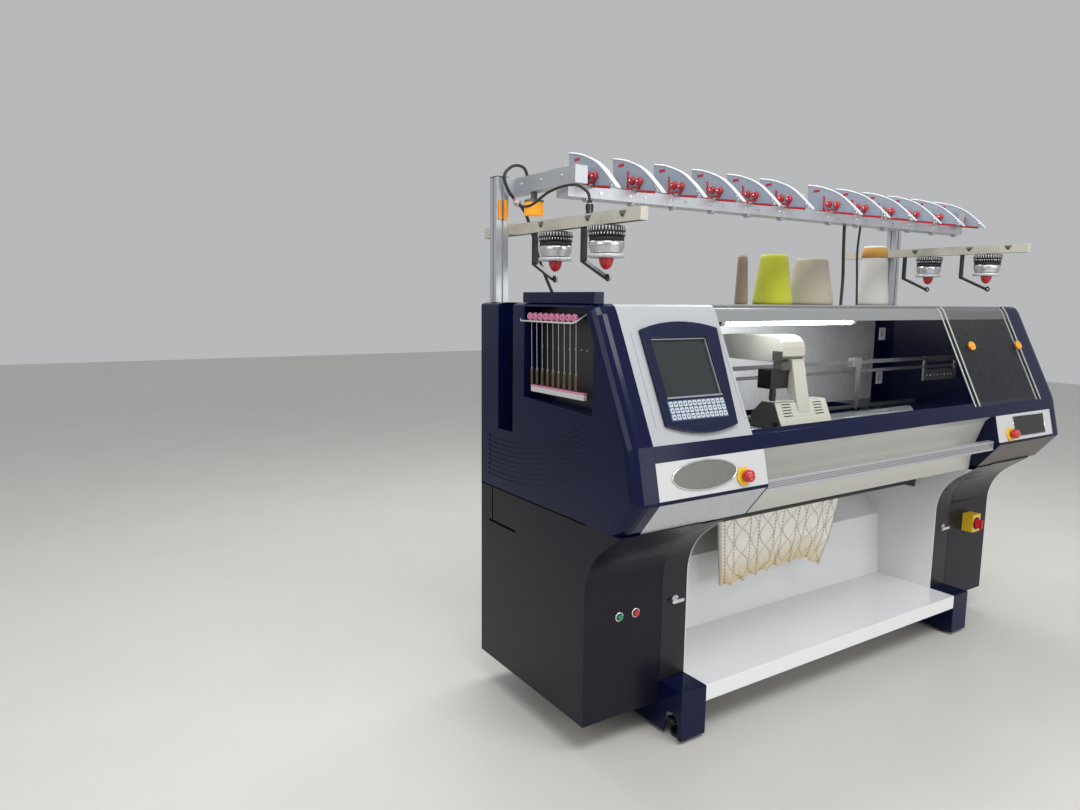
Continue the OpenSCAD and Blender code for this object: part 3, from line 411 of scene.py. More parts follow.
def helix(at, radius, pitch, turns, steps=12):
    """Points of a coil that rises from a point."""
    x, y, z = at
    count = int(turns * steps)
    return [(x + radius * math.cos(math.tau * i / steps), y + radius * math.sin(math.tau * i / steps),
             z + pitch * i / steps) for i in range(count + 1)]


def rounded(outline, radius, steps=4):
    """An outline with its corners rounded."""
    made = []
    for i, corner in enumerate(outline):
        p, a, b = Vector(corner), Vector(outline[i - 1]), Vector(outline[(i + 1) % len(outline)])
        r = min(radius, (a - p).length * 0.45, (b - p).length * 0.45)
        start, end = p + (a - p).normalized() * r, p + (b - p).normalized() * r
        for j in range(steps + 1):
            t = j / steps
            made.append(tuple((1 - t) ** 2 * start + 2 * t * (1 - t) * p + t * t * end))
    return made


def rect(u0, v0, u1, v1):
    """The outline of a rectangle."""
    return [(u0, v0), (u1, v0), (u1, v1), (u0, v1)]


def spline(route, steps):
    """A smooth curve through the route's points."""
    p = [Vector(q) for q in route]
    made = []
    for i in range(len(p) - 1):
        a, b, c, d = p[max(i - 1, 0)], p[i], p[i + 1], p[min(i + 2, len(p) - 1)]
        for j in range(steps):
            t = j / steps
            made.append(0.5 * (2 * b + t * (c - a) + t * t * (2 * a - 5 * b + 4 * c - d)
                               + t ** 3 * (3 * b - a - 3 * c + d)))
    return [*made, p[-1]]


class Piece:
    """Gathers closed forms, each with its own material, into one object of the scene."""

    def __init__(self, name):
        self.name = name
        self.bm = bmesh.new()
        self.materials = []

    def add(self, form, material, smooth=False, place=None):
        """Adds a form in millimetres, moved by a matrix where one is given."""
        points, faces = form
        if material not in self.materials:
            self.materials.append(material)
        moved = [place @ Vector(p) for p in points] if place else [Vector(p) for p in points]
        verts = [self.bm.verts.new(p * MM) for p in moved]
        for f in faces:
            face = self.bm.faces.new([verts[i] for i in f])
            face.material_index = self.materials.index(material)
            face.smooth = smooth

    def make(self, body, slot, replaces=(), bevel=0.0):
        """Puts the piece on a body, in the place of the CAD nodes that it stands for."""
        bmesh.ops.recalc_face_normals(self.bm, faces=self.bm.faces)
        data = bpy.data.meshes.new(self.name)
        self.bm.to_mesh(data)
        self.bm.free()
        obj = bpy.data.objects.new(self.name, data)
        scene.collection.objects.link(obj)
        for material in self.materials:
            data.materials.append(material)
        if bevel:
            round_edges(obj, bevel)
        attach(obj, body)
        if replaces:
            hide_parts(*replaces)
        return obj


# Edges that bend less than this stay as they are. The weld joins the corners that CAD faces share
SHARP_ANGLE = math.radians(35.0)
WELD_DISTANCE = 0.00001


def round_edges(obj, width):
    """Bevels the edges that bend more than the sharp angle."""
    edge = obj.modifiers.new("edges", "BEVEL")
    edge.width = width * MM
    edge.segments = 2
    edge.limit_method = "ANGLE"
    edge.angle_limit = SHARP_ANGLE


def soften(width, *nodes):
    """Rounds the sharp edges of CAD nodes, as their sheet and mouldings have them."""
    for node in nodes:
        obj = frame["nodes"][node]
        weld = obj.modifiers.new("weld", "WELD")
        weld.merge_threshold = WELD_DISTANCE
        round_edges(obj, width)


def tilted(y, z, angle):
    """The place of a face that leans back from a front edge at y, z."""
    return Matrix.Translation((0, y, z)) @ Matrix.Rotation(math.radians(angle), 4, "X")


# Places that the solids share, in millimetres
BROW = (-505, 1080)
CREST = (-322, 1465)
SLOPE_ANGLE = math.degrees(math.atan2(CREST[1] - BROW[1], CREST[0] - BROW[0]))
SLOPE = tilted(*BROW, SLOPE_ANGLE)
LEDGE = (-541, 919)
NOSE_ANGLE = math.degrees(math.atan2(BROW[1] - LEDGE[1], BROW[0] - LEDGE[0]))
NOSE = tilted(*LEDGE, NOSE_ANGLE)
TABLE_Z = 1495
BED_Y = -135
BAR_FACE = -518
BAR_FOOT = 884
SIDE_X = -1275
RAIL_TOP = 1890
ARM_X = 1150
ARM_Z = 1745
ARM_TOP = 1785
CAB_FRONT = -290
DISPLAY_X = -983
DISPLAY_W = 261
FINS_X = [-877 + 197 * i for i in range(-1, 5)] + [220 + 197 * i for i in range(6)]
DRUMS = [("drum_1", -ARM_X, 88), ("drum_2", -ARM_X, -203), ("drum_3", ARM_X, 88), ("drum_4", ARM_X, -203)]


# Cords, along the routes of their solids
def cord(name, route, steps, radius, reverse=False, **facts):
    """A round cable through a route's points, in metres, that starts where it leaves what holds it."""
    line = spline(route, steps)
    if reverse:
        line.reverse()
    data = bpy.data.curves.new(name, "CURVE")
    data.dimensions = "3D"
    data.bevel_depth = radius
    data.bevel_resolution = 3
    data.use_fill_caps = True
    run = data.splines.new("POLY")
    run.points.add(len(line) - 1)
    for point, p in zip(run.points, line):
        point.co = (*p, 1.0)
    run.use_smooth = True
    obj = bpy.data.objects.new(name, data)
    scene.collection.objects.link(obj)
    data.materials.append(cable_black)
    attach(obj, "frame")
    return obj


LAMP_ROUTE = [(-1.135, 0.300, 1.951), (-1.150, 0.300, 1.984), (-1.182, 0.300, 1.992),
              (-1.214, 0.300, 1.979), (-1.235, 0.300, 1.950), (-1.222, 0.300, 1.905),
              (-1.190, 0.296, 1.865), (-1.150, 0.298, 1.830), (-1.116, 0.300, 1.760),
              (-1.080, 0.300, 1.655), (-1.040, 0.300, 1.570), (-1.000, 0.300, 1.4985)]
PLUG_ROUTE = [(-1.150, -0.108, 1.831), (-1.152, -0.104, 1.850), (-1.166, -0.097, 1.866),
              (-1.184, -0.078, 1.879), (-1.193, -0.028, 1.881), (-1.197, 0.026, 1.876),
              (-1.198, 0.080, 1.866), (-1.197, 0.140, 1.846), (-1.195, 0.190, 1.836),
              (-1.194, 0.235, 1.838), (-1.181, 0.281, 1.850)]
THICK_ROUTE = [(0.380, 0.040, 1.8485), (0.398, 0.050, 1.740), (0.425, 0.064, 1.620), (0.418, 0.062, 1.496)]
THIN_ROUTE = [(0.496, 0.040, 1.849), (0.505, 0.054, 1.740), (0.530, 0.064, 1.620), (0.537, 0.062, 1.496)]


def cable_tie():
    """The clip that holds both cables at the left post."""
    piece = Piece("cable_tie")
    at = (-1186, 289, 1857)
    turn = Matrix.Translation(at) @ Matrix.Rotation(math.radians(45), 4, "Y")
    piece.add(lathe([(6, -12), (12, -10), (12, 10), (6, 12)]), off_white, True, turn)
    piece.add(box((-20, -3, -3), (-10, 3, 3)), pink, False, turn)
    return piece.make("frame", "black_plastic")


def plug_on_arm():
    """The ribbed plug on the left feeder arm."""
    piece = Piece("arm_connector")
    x, y = -ARM_X, -108
    piece.add(lathe([(0, 0), (12.5, 0), (12.5, 5), (11.5, 6), (11.5, 32), (9, 34), (8, 44), (0, 44.6)],
                    (x, y, ARM_TOP)), black_plastic, True)
    for k in range(12):
        a = math.tau * k / 12
        p, q = x + 11.6 * math.cos(a), y + 11.6 * math.sin(a)
        piece.add(box((p - 1, q - 1, ARM_TOP + 12), (p + 1, q + 1, ARM_TOP + 30)), black_plastic)
    return piece.make("frame", "black_plastic")


def cords():
    """The four cables, the first in the place of their solids."""
    lamp = cord("lamp_cable", LAMP_ROUTE, 3, 0.006, far_end="object", stiffness="medium", lay="hanging",
                with_pieces=[cable_tie()])
    cord("arm_cable", PLUG_ROUTE, 2, 0.005, True, far_end="connector", stiffness="medium", lay="hanging",
         with_pieces=[plug_on_arm()])
    cord("thick_cable", THICK_ROUTE, 6, 0.007, far_end="object", stiffness="medium", lay="hanging")
    cord("thin_cable", THIN_ROUTE, 6, 0.005, far_end="object", stiffness="medium", lay="hanging")
    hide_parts("stand_cables")


# Knitted fabric
CLOTH_ACROSS = 775
CLOTH_DOWN = 640
CLOTH_THICK = 0.002
RIPPLE_FROM = 90
FABRIC_LEFT = [(-520, 1029), (-520, 649), (-498, 391)]
FABRIC_RIGHT = [(255, 1029), (255, 760), (234, 655), (172, 474), (140, 432), (103, 376)]
FABRIC_HEM = [(-498, 391), (-405, 394), (-316, 409), (-227, 414), (-120, 424), (-3, 429), (50, 398),
              (103, 376)]


def along(line, t):
    """The point at share t of a line's length."""
    p = [Vector(q) for q in line]
    steps = [(b - a).length for a, b in zip(p, p[1:])]
    left = t * sum(steps)
    for a, b, s in zip(p, p[1:], steps):
        if left <= s:
            return a + (b - a) * (left / s)
        left -= s
    return p[-1]


def knit_lines(s, d):
    """How deep the grooves are at s across and d down: dotted columns, and wavy lines that cross."""
    groove = 0.0
    for k in range(5):
        left = 36 + 155 * k
        for column in (left, left + 52):
            if abs(s - column) < 4.5:
                groove = max(groove, 0.55 + 0.45 * math.sin(d * math.tau / 15))
        wide = s - left - 52
        if 0 < wide < 103:
            for phase in (0.0, 0.5):
                middle = 51.5 + 44 * math.sin(math.tau * (d / 210 + phase))
                groove = max(groove, 0.8 - abs(wide - middle) / 7)
        narrow = s - left
        if 0 < narrow < 52:
            middle = 26 + 17 * math.sin(math.tau * (d / 120 + 0.25 + 0.5 * (k % 2)))
            groove = max(groove, 0.7 - abs(narrow - middle) / 7)
    return groove


def fabric():
    """The hanging knit, from its seen outline, with ribs, folds and a scalloped hem."""
    across, down = 190, 160
    points, depth = [], []
    top = (FABRIC_LEFT[0], FABRIC_RIGHT[0])
    for j in range(down + 1):
        v = j / down
        left, right = along(FABRIC_LEFT, v), along(FABRIC_RIGHT, v)
        for i in range(across + 1):
            u = i / across
            ends = [Vector(FABRIC_LEFT[0]), Vector(top[1]), Vector(FABRIC_HEM[0]), Vector(FABRIC_HEM[-1])]
            flat = ((1 - v) * along(top, u) + v * along(FABRIC_HEM, u) + (1 - u) * left + u * right
                    - (1 - u) * (1 - v) * ends[0] - u * (1 - v) * ends[1] - (1 - u) * v * ends[2]
                    - u * v * ends[3])
            s, d = u * CLOTH_ACROSS, v * CLOTH_DOWN
            groove = knit_lines(s, d)
            hem = max(0.0, (v - 0.8) / 0.2)
            edge = max(0.0, 1 - min(u, 1 - u) / 0.035)
            y = BED_Y + 2.2 * groove + 1.4 * math.sin(s * math.tau / 95) * min(1.0, d / RIPPLE_FROM)
            y += 9 * hem * hem * math.sin(s * math.tau / 88) + 6 * edge * min(1.0, d / RIPPLE_FROM)
            points.append(Vector((flat[0], y, flat[1] + 5 * hem * math.cos(s * math.tau / 44))) * MM)
            depth.append((min(1.0, max(0.0, groove)), hem, edge))
    faces = [(j * (across + 1) + i, j * (across + 1) + i + 1, (j + 1) * (across + 1) + i + 1,
              (j + 1) * (across + 1) + i) for j in range(down) for i in range(across)]
    data = bpy.data.meshes.new("knitted_cloth")
    data.from_pydata(points, [], faces)
    # Groove depth in red, for painted shade; the hem in green; the side edges in blue
    layer = data.attributes.new("knit", "FLOAT_COLOR", "POINT")
    for k, (groove, hem, edge) in enumerate(depth):
        layer.data[k].color = (groove, hem, edge, 1.0)
    data.polygons.foreach_set("use_smooth", [True] * len(data.polygons))
    obj = bpy.data.objects.new("knitted_cloth", data)
    scene.collection.objects.link(obj)
    data.materials.append(knit_cloth)
    thick = obj.modifiers.new("thickness", "SOLIDIFY")
    thick.thickness = CLOTH_THICK
    thick.offset = 0.0
    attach(obj, "frame")
    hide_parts("knitted_fabric")


# Yarn cones
CONE_Y = 300
# Place along x, foot radius, top radius, height and yarn of each
CONES = [(20, 30, 22, 220, yarn_tan), (230, 92, 62, 232, yarn_lime), (500, 112, 76, 224, yarn_beige),
         (1005, 80, 58, 305, yarn_white)]


def cones():
    """Cones with wound ridges and an open top, the last with a band of orange yarn on it."""
    for i, (x, low, high, h, yarn) in enumerate(CONES):
        piece = Piece(f"yarn_cone_{i + 1}")
        at = (x, CONE_Y, TABLE_Z)
        profile = [(0, 0.2), (low * 0.9, 0.2), (low, 5)]
        for k in range(1, 20):
            t = k / 20
            profile.append((low + (high - low) * t + 0.6 * (k % 2), 5 + (h - 16) * t))
        profile += [(high, h - 10), (high - 6, h - 2), (high * 0.4, h - 3), (high * 0.36, h),
                    (high * 0.3, h), (high * 0.28, h - 20), (0, h - 20)]
        piece.add(lathe(profile, at, n=48), yarn, True)
        if yarn is yarn_white:
            wide = high + (low - high) * 62 / (h - 11)
            band = [(wide + 1.4, h - 62), (high + 1.8, h - 12), (high - 8, h - 1), (high - 10, h - 12),
                    (high - 4, h - 60)]
            piece.add(lathe(band, at, n=48), yarn_orange, True)
        piece.make("frame", "yarn", ["yarn_cones"] if i == 0 else [])


# Yarn stand
FIN_TOP = [(-150, -17), (-95, 34), (-33, 80), (50, 114), (124, 130)]


def fin(plates, discs, x):
    """One tension plate with its bent edge, its two ribbed discs, screws, strip and wire guides."""
    edge = [(y, RAIL_TOP + z) for y, z in FIN_TOP]
    curve = [tuple(p) for p in spline([(*p, 0) for p in edge], 4)]
    edge = [(p[0], p[1]) for p in curve]
    outline = [*edge, (116, RAIL_TOP + 31), (50, RAIL_TOP), (-20, RAIL_TOP)]
    plates.add(prism(outline, x, x + 3), fin_blue)
    inner = [(y + 1.2, z - 3) for y, z in edge]
    plates.add(prism([*edge, *inner[::-1]], x, x + 20), fin_white, True)
    plates.add(pipe([(x + 1, y, z) for y, z in edge], 3.2), fin_white, True)
    z = RAIL_TOP
    discs.add(box((x - 1, 58, z + 96), (x, 90, z + 106)), red)
    discs.add(box((x - 3, 30, z + 12), (x, 41, z + 74)), red)
    for k in range(7):
        discs.add(stud((x - 3, 35.5, z + 18 + 8 * k), 3.5, 4.5, "x", 10), chrome)
    for y, h in ((3, 38), (-37, 31)):
        ridges = [(0, -15), (11, -15), (14.5, -12), (14.5, -9), (12.5, -8), (14.5, -7), (14.5, -4),
                  (12, -3), (12, 0), (0, 0)]
        discs.add(lathe(ridges, (x, y, z + h), "x", 24), red, True)
        discs.add(lathe([(0, -19), (3, -19), (3, -15), (0, -15)], (x, y, z + h), "x", 10), chrome, True)
    discs.add(box((x - 7, -36, z + 7), (x, 58, z + 15)), red)
    strip = [(-25, z + 3), (-25, z - 5), (-112, z - 18), (-116, z - 9)]
    discs.add(prism(strip, x - 2, x + 4), red)
    discs.add(stud((x, -15, z + 10), 8, 6, "x", 16), chrome, True)
    wire = [(x - 2, 116, z + 62), (x - 2, 136, z + 78), (x - 2, 141, z + 92)]
    discs.add(pipe(wire, 1.3, 6), chrome, True)
    discs.add(pipe(ring((x - 8, 84, z + 22), 7, 7), 1.2, 6, True), chrome, True)
    discs.add(pipe([(x, 76, z + 18), (x - 8, 77, z + 20)], 1.2, 6), chrome, True)
    hook = [(x, -110, z + 8), (x - 9, -128, z + 2), (x - 10, -140, z - 12), (x - 4, -138, z - 20)]
    discs.add(pipe(spline(hook, 3), 1.2, 6), chrome, True)
    for y in (-12, 8, 28):
        discs.add(pipe([(x - 9, y, z + 8), (x - 9, y, z - 1)], 1.4, 6), chrome, True)


POST_X = 1231
POST_Y = 345
POST_HALF = 25.5
# Each feeder's place along its arm, and how far behind it its bracket hangs
FEEDER_PLACES = ((88, 134), (-203, 123))


def stand():
    """Tension plates, post caps, screws, clips and the feeders' brackets with their ceramic eyes."""
    plates, discs = Piece("fin_plates"), Piece("fin_fittings")
    for x in FINS_X:
        fin(plates, discs, x)
    plates.make("frame", "fin_blue", ["tensioner_plates"])
    discs.make("frame", "red", ["tensioner_discs"])
    trims = Piece("stand_fittings")
    for side in (-1, 1):
        post = side * POST_X
        cap = rect(post - POST_HALF, POST_Y - POST_HALF, post + POST_HALF, POST_Y + POST_HALF)
        trims.add(prism(cap, 1948, 1951, "z"), black_plastic)
        for y in (20, 150, 280):
            trims.add(stud((side * ARM_X - 25, y, 1922), 6, 3, "x", 16), chrome, True)
        for y in (-300, -120, 160, 420):
            trims.add(stud((side * ARM_X - 15, y, ARM_Z + 20), 5, 3, "x", 6), chrome)
            trims.add(prism([(y - 16, ARM_TOP - 6), (y + 16, ARM_TOP - 6), (y + 9, ARM_TOP - 20),
                             (y - 3, ARM_TOP - 26)], side * ARM_X - 18, side * ARM_X - 15), badge_grey)
    for x in FINS_X:
        for dx in (-30, 36):
            trims.add(stud((x + dx, -20, RAIL_TOP - 20), 5, 2.5, "y", 6), chrome)
    for x in (-ARM_X, ARM_X):
        for y, gap in FEEDER_PLACES:
            top = y + gap
            bracket = [(top + 5, ARM_Z), (top - 5, ARM_Z), (top - 5, ARM_Z - 107), (top - 126, ARM_Z - 162),
                       (top - 126, ARM_Z - 172), (top + 5, ARM_Z - 113)]
            trims.add(prism(bracket, x - 11, x + 11), black_plastic)
            eye = ring((x, y + gap - 134, ARM_Z - 167), 10, 10, 16)
            trims.add(pipe(eye, 3.2, 8, True), off_white, True)
    trims.make("frame", "chrome", bevel=0.4)


RING_TEETH = 36


def feeder(name, x, y):
    """A storage feeder: toothed ring, yarn drum, silver disc and red cap, hung below its arm."""
    piece = Piece(f"{name}_fittings")
    at = (x, y, ARM_Z)
    top = [(0, -5), (58, -5), (62, -9), (62, -20), (59, -22), (59, -38), (40, -39), (0, -39)]
    piece.add(lathe(top, at, n=48), black_plastic, True)
    for k in range(RING_TEETH):
        a = math.tau * k / RING_TEETH
        p, q = x + 60.5 * math.cos(a), y + 60.5 * math.sin(a)
        piece.add(lathe([(0, -21), (2.6, -21), (2.6, -8), (0, -8)], (p, q, ARM_Z), n=8), off_white, True)
        p, q = x + 57.5 * math.cos(a + 0.08), y + 57.5 * math.sin(a + 0.08)
        piece.add(lathe([(0, -34), (2.2, -34), (2.2, -27), (0, -27)], (p, q, ARM_Z), n=8), chrome, True)
    piece.add(lathe([(0, -38), (56, -38), (56, -54), (0, -54)], at, n=48), rubber, True)
    drum = [(0, -54), (57, -54), (58, -60), (56, -74), (50, -86), (50, -90), (0, -90)]
    piece.add(lathe(drum, at, n=48), aluminium, True)
    disc = [(0, -90), (58, -93), (60, -96), (60, -101), (56, -105), (0, -105)]
    piece.add(lathe(disc, at, n=48), brushed, True)
    cup = [(0, -104)] + [(24 * math.cos(t * math.pi / 16), -104 - 38 * math.sin(t * math.pi / 16))
                         for t in range(8)] + [(0, -142)]
    piece.add(lathe(cup, at, n=32), red, True)
    piece.add(lathe([(0, 13), (6, 13), (6, -6), (0, -6)], at, n=16), chrome, True)
    piece.make(name, "black_plastic", [f"feeder_{name}"])


LAMP_Y = 232
LAMP_Z = 1808


def lamp():
    """The orange signal lamp with its ribbed lens, and the two strips on the post beside it."""
    piece = Piece("signal_light")
    at = (-ARM_X, LAMP_Y, LAMP_Z)
    lens = [(0, 0)]
    for k in range(13):
        lens.append((36 - 1.2 * (k % 2), 1 + 3.6 * k))
    lens += [(34, 47), (0, 47)]
    piece.add(lathe(lens, at, n=40), lamp_orange, True)
    foot = [(0, 46), (36, 46), (36, 54), (30, 58), (12, 59), (12, 82), (0, 82)]
    piece.add(lathe(foot, at, n=40), badge_grey, True)
    piece.add(box((-1249, 314, 1795), (-1237, 320, 1866)), orange)
    piece.add(box((-1228, 314, 1795), (-1213, 320, 1866)), orange)
    piece.add(box((-1239, 316, 1798), (-1227, 320, 1863)), badge_grey)
    piece.make("frame", "orange", ["signal_lamp"], bevel=0.8)


WIRE_X = -1255
EYELETS = 9
EYELET_FIRST_Y = 70
EYELET_PITCH = 33


def side_tension():
    """The unit in the left housing's recess: cap, wire loop, eyelets, wires, springs and lower rail."""
    piece = Piece("side_tension_unit")
    back = [(84, 1176), (-304, 1156), (-304, 1380), (-258, 1476), (84, 1476)]
    piece.add(prism(back, -1211, -1205), black_plastic)
    piece.add(box((-1262, -293, TABLE_Z), (-1225, 121, TABLE_Z + 36)), navy)
    loop = [(-1206, 112, 1478), (-1240, 118, 1460), (-1276, 114, 1438), (-1283, 100, 1433),
            (-1283, -206, 1433), (-1276, -220, 1438), (-1240, -224, 1460), (-1206, -224, 1480)]
    piece.add(pipe(loop, 2.8, 8), off_white, True)
    piece.add(box((-1255, -225, 1446.5), (-1210, 82, 1449)), black_plastic)
    for k in range(EYELETS):
        y = EYELET_FIRST_Y - EYELET_PITCH * k
        eyelet = [(4, -8), (10, -8), (14, -3), (14, 3), (10, 8), (4, 8)]
        piece.add(lathe(eyelet, (WIRE_X - 7, y, 1449), "x", 20), pink, True)
        piece.add(pipe([(WIRE_X - 3, y, 1438), (WIRE_X, y, 1264)], 1.1, 6), off_white, True)
        piece.add(pipe([(-1213, y, 1344), (-1208, y, 1344)], 2.4, 6), off_white, True)
        piece.add(pipe(helix((WIRE_X, y, 1216), 4.6, 5.0, 9), 1.0, 6), brass, True)
        piece.add(pipe(ring((WIRE_X, y, 1266), 6, 8), 1.1, 6, True), brass, True)
    piece.add(box((-1261, -246, 1190), (-1249, 66, 1208)), off_white)
    piece.add(box((-1262, -246, 1208), (-1247, 66, 1214)), pink)
    for y in (-224, 36):
        piece.add(box((-1255, y - 6, 1196), (-1210, y + 6, 1206)), chrome)
    piece.make("frame", "steel", ["side_tensioner"], bevel=0.5)


# Operator's side
KEYS_ACROSS = 12
KEYS_UP = 3
KEY_PITCH_UP = 20.5


def display():
    """The screen's frame and the keypad's raised caps, on the slope."""
    piece = Piece("display_trim")
    left, right = DISPLAY_X - DISPLAY_W / 2 + 13, DISPLAY_X + DISPLAY_W / 2 - 12
    for low, high in (((left, 138, 1), (left + 1.6, 338, 6)), ((right - 3, 138, 1), (right, 338, 8)),
                      ((left, 334, 1), (right, 338, 8)), ((left, 138, 1), (right, 144, 12))):
        piece.add(box(low, high), wire_grey, place=SLOPE)
    piece.add(box((left + 7, 148, 0.2), (right - 8, 329, 1.2)), screen_grey, place=SLOPE)
    piece.make("frame", "screen", bevel=0.5)
    keys = Piece("key_caps")
    first = DISPLAY_X - DISPLAY_W / 2 + 7.5
    keys.add(box((first, 67, 12), (first + DISPLAY_W - 21, 131, 13.5)), key_blue, place=SLOPE)
    pitch = (DISPLAY_W - 24.6) / KEYS_ACROSS
    for i in range(KEYS_ACROSS):
        for j in range(KEYS_UP):
            x, y = first + 2 + pitch * i, 70 + KEY_PITCH_UP * j
            keys.add(prism(rounded(rect(x + 1, y, x + pitch - 3.7, y + 17), 3), 13.2, 15.4, "z"), key_grey,
                     place=SLOPE)
            keys.add(box((x + 5, y + 6, 15.3), (x + pitch - 8, y + 11, 15.8)), key_blue, place=SLOPE)
    keys.make("frame", "membrane", ["keypad"])


BUTTON_Z = 465
SWITCH_Z = 475
# Place on the nose of each emergency stop: along x, and up from the ledge
E_STOPS = (("left", (-838, 38)), ("right", (815, 30)))
BUTTONS = (("start_button", -1133, green, "green"), ("stop_button", -1063, red, "red"))


def push_fittings():
    """Start and stop buttons, the main switch's plate and the emergency stops' heads."""
    piece = Piece("button_rings")
    for name, x, paint, slot in BUTTONS:
        rim = [(11, -2), (16, -2), (17, 0), (17, 3), (11, 3)]
        piece.add(lathe(rim, (x, CAB_FRONT - 3, BUTTON_Z), "y", 32), chrome, True)
    piece.make("frame", "chrome")
    for name, x, paint, slot in BUTTONS:
        cap = Piece(name + "_cap")
        dish = [(0, -11), (6.5, -11.6), (9, -13), (10, -12), (10, 20), (0, 20)]
        cap.add(lathe(dish, (x, CAB_FRONT, BUTTON_Z), "y", 32), paint, True)
        cap.make(name, slot, [name])
    low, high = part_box("main_switch_box")
    x, face, z = (low.x + high.x) / 2 / MM, CAB_FRONT - 50, SWITCH_Z
    plate = Piece("main_switch_plate")
    for dx in (-25, 25):
        for dz in (-33, 33):
            plate.add(lathe([(0, -2), (4, -2), (4, 1), (0, 1)], (x + dx, face, z + dz), "y", 12), chrome)
    plate.add(lathe([(23, -1), (29, -1), (29, 1), (23, 1)], (x, face, z), "y", 40), strip_black, True)
    plate.make("frame", "yellow")
    for side, at in E_STOPS:
        head = Piece(f"e_stop_button_{side}")
        place = NOSE @ Matrix.Translation((*at, 0))
        dome = [(0, 1), (11, 1), (11, 14), (17, 14), (19.5, 17), (20, 22), (20, 30), (18.5, 35), (14, 38.5),
                (0, 41)]
        head.add(lathe(dome, n=40), red, True, place)
        for k in range(3):
            turn = place @ Matrix.Rotation(math.tau * k / 3, 4, "Z")
            head.add(prism([(9, -3), (13, 0), (9, 3)], 39, 40.2, "z"), off_white, False, turn)
        head.make(f"e_stop_{side}", "red", [f"e_stop_head_{side}"])


def slope_line(depth):
    """Points of the covers' profile, a depth below the slope's face."""
    lean = math.radians(SLOPE_ANGLE)
    foot = Vector((BROW[0], BROW[1] + 0.5))
    inward = Vector((math.sin(lean), -math.cos(lean)))
    crest = Vector(CREST)
    tip = Vector((CREST[0] + (TABLE_Z - CREST[1]) / math.tan(lean), TABLE_Z))
    end = Vector((-290, TABLE_Z - 1))
    line = [foot + inward * depth, crest + inward * depth]
    for k in range(1, 4):
        t = k / 4
        p = (1 - t) ** 2 * crest + 2 * t * (1 - t) * tip + t * t * end
        line.append(p + (inward * (1 - t) + Vector((0.0, -1.0)) * t).normalized() * depth)
    return line


# Each clear cover's left edge and how deep it lies below the slope
COVERS = (("outer", 611, 0.0), ("inner", 587, 5.0))
COVER_W = 520
COVER_KNOBS = ((701, 267), (1093, 261))


def covers():
    """The covers' bright side edges, a little proud of the sheet, and the finger knobs."""
    for name, x, depth in COVERS:
        piece = Piece(f"cover_{name}_edges")
        outside, inside = slope_line(depth - 0.3), slope_line(depth + 3.3)
        outline = [*outside, *inside[::-1]]
        for a, b in ((x - 1, x + 3), (x + COVER_W - 4, x + COVER_W)):
            piece.add(prism([tuple(p) for p in outline], a, b), cover_edge)
        piece.make(f"cover_{name}", "cover_clear")
    knobs = Piece("cover_finger_knobs")
    for x, s in COVER_KNOBS:
        place = SLOPE @ Matrix.Translation((x, s, 0))
        bowl = [(0, 0), (12, 0), (12, 9), (20, 9), (20.5, 11), (18, 17.5), (15, 18), (12, 15), (8, 12),
                (0, 12)]
        knobs.add(lathe(bowl, n=40), knob_amber, True, place)
        knobs.add(box((-11, -2.5, 11), (11, 2.5, 17)), knob_amber, False, place)
    knobs.make("cover_outer", "orange", ["cover_knobs"])


def carriage():
    """The carriage's screws, label places, a black plate at the beam's right end, vents and ribbed hose,
    with painted shade: a dark grey sheet on the front box's left side and dark grey pieces at the beam's
    left end and in the recess under it.
    """
    piece = Piece("carriage_fittings")
    side = [(-412, 1052), (-391, 1094), (-367, 1151), (-311, 1151), (-263, 1103), (-263, 1052)]
    # Painted shade: a dark grey sheet on the front box's left side
    piece.add(prism(side, -513, -510), painted_shade_grey)
    piece.add(box((-514.5, -392, 1062), (-512.5, -368, 1082)), black_plastic)
    lean = math.degrees(math.atan2(57, 24))
    face = tilted(-412, 1052, lean)
    for x in (-440, -300, -288, -276):
        head = [(0, 0), (3.4, 0), (3.4, 2), (0, 2.4)]
        piece.add(lathe(head, (x, 9, 0), n=12), black_plastic, False, face)
    piece.add(prism([(-372, 1152), (-372, 1154), (-345, 1154), (-345, 1152)], -508, -402), ivory)
    # Painted shade: a dark grey sheet low on the beam's left end, and a dark grey block in the recess under
    # the beam
    piece.add(box((-455.5, -345, 1296), (-453.5, -300, 1330)), painted_shade_grey)
    piece.add(box((-452, -344, 1262), (-402, -303, 1290)), painted_shade_grey)
    piece.add(box((-331.5, -338, 1284), (-329.5, -316, 1302)), black_plastic)
    for z in (1200, 1212, 1224, 1236, 1248, 1260):
        piece.add(box((-496.5, -333.5, z), (-401, -271, z + 3)), black_plastic)
    hose = [(-474, -326, 1196), (-480, -333, 1180), (-489, -340, 1166), (-496, -344, 1154)]
    hose = spline(hose, 8)
    for k, p in enumerate(hose):
        q = hose[min(k + 1, len(hose) - 1)]
        if k % 2 == 0 and k < len(hose) - 1:
            piece.add(pipe([p, q], 10.5, 12), rubber, True)
    piece.add(pipe(hose, 9, 12), rubber, True)
    piece.make("carriage", "ivory", bevel=0.6)


# Needles of one bed, at a coarser pitch than the machine's own
NEEDLES = 232
FIRST_NEEDLE_X = -696
NEEDLE_PITCH = 6
NEEDLE_W = 1.4


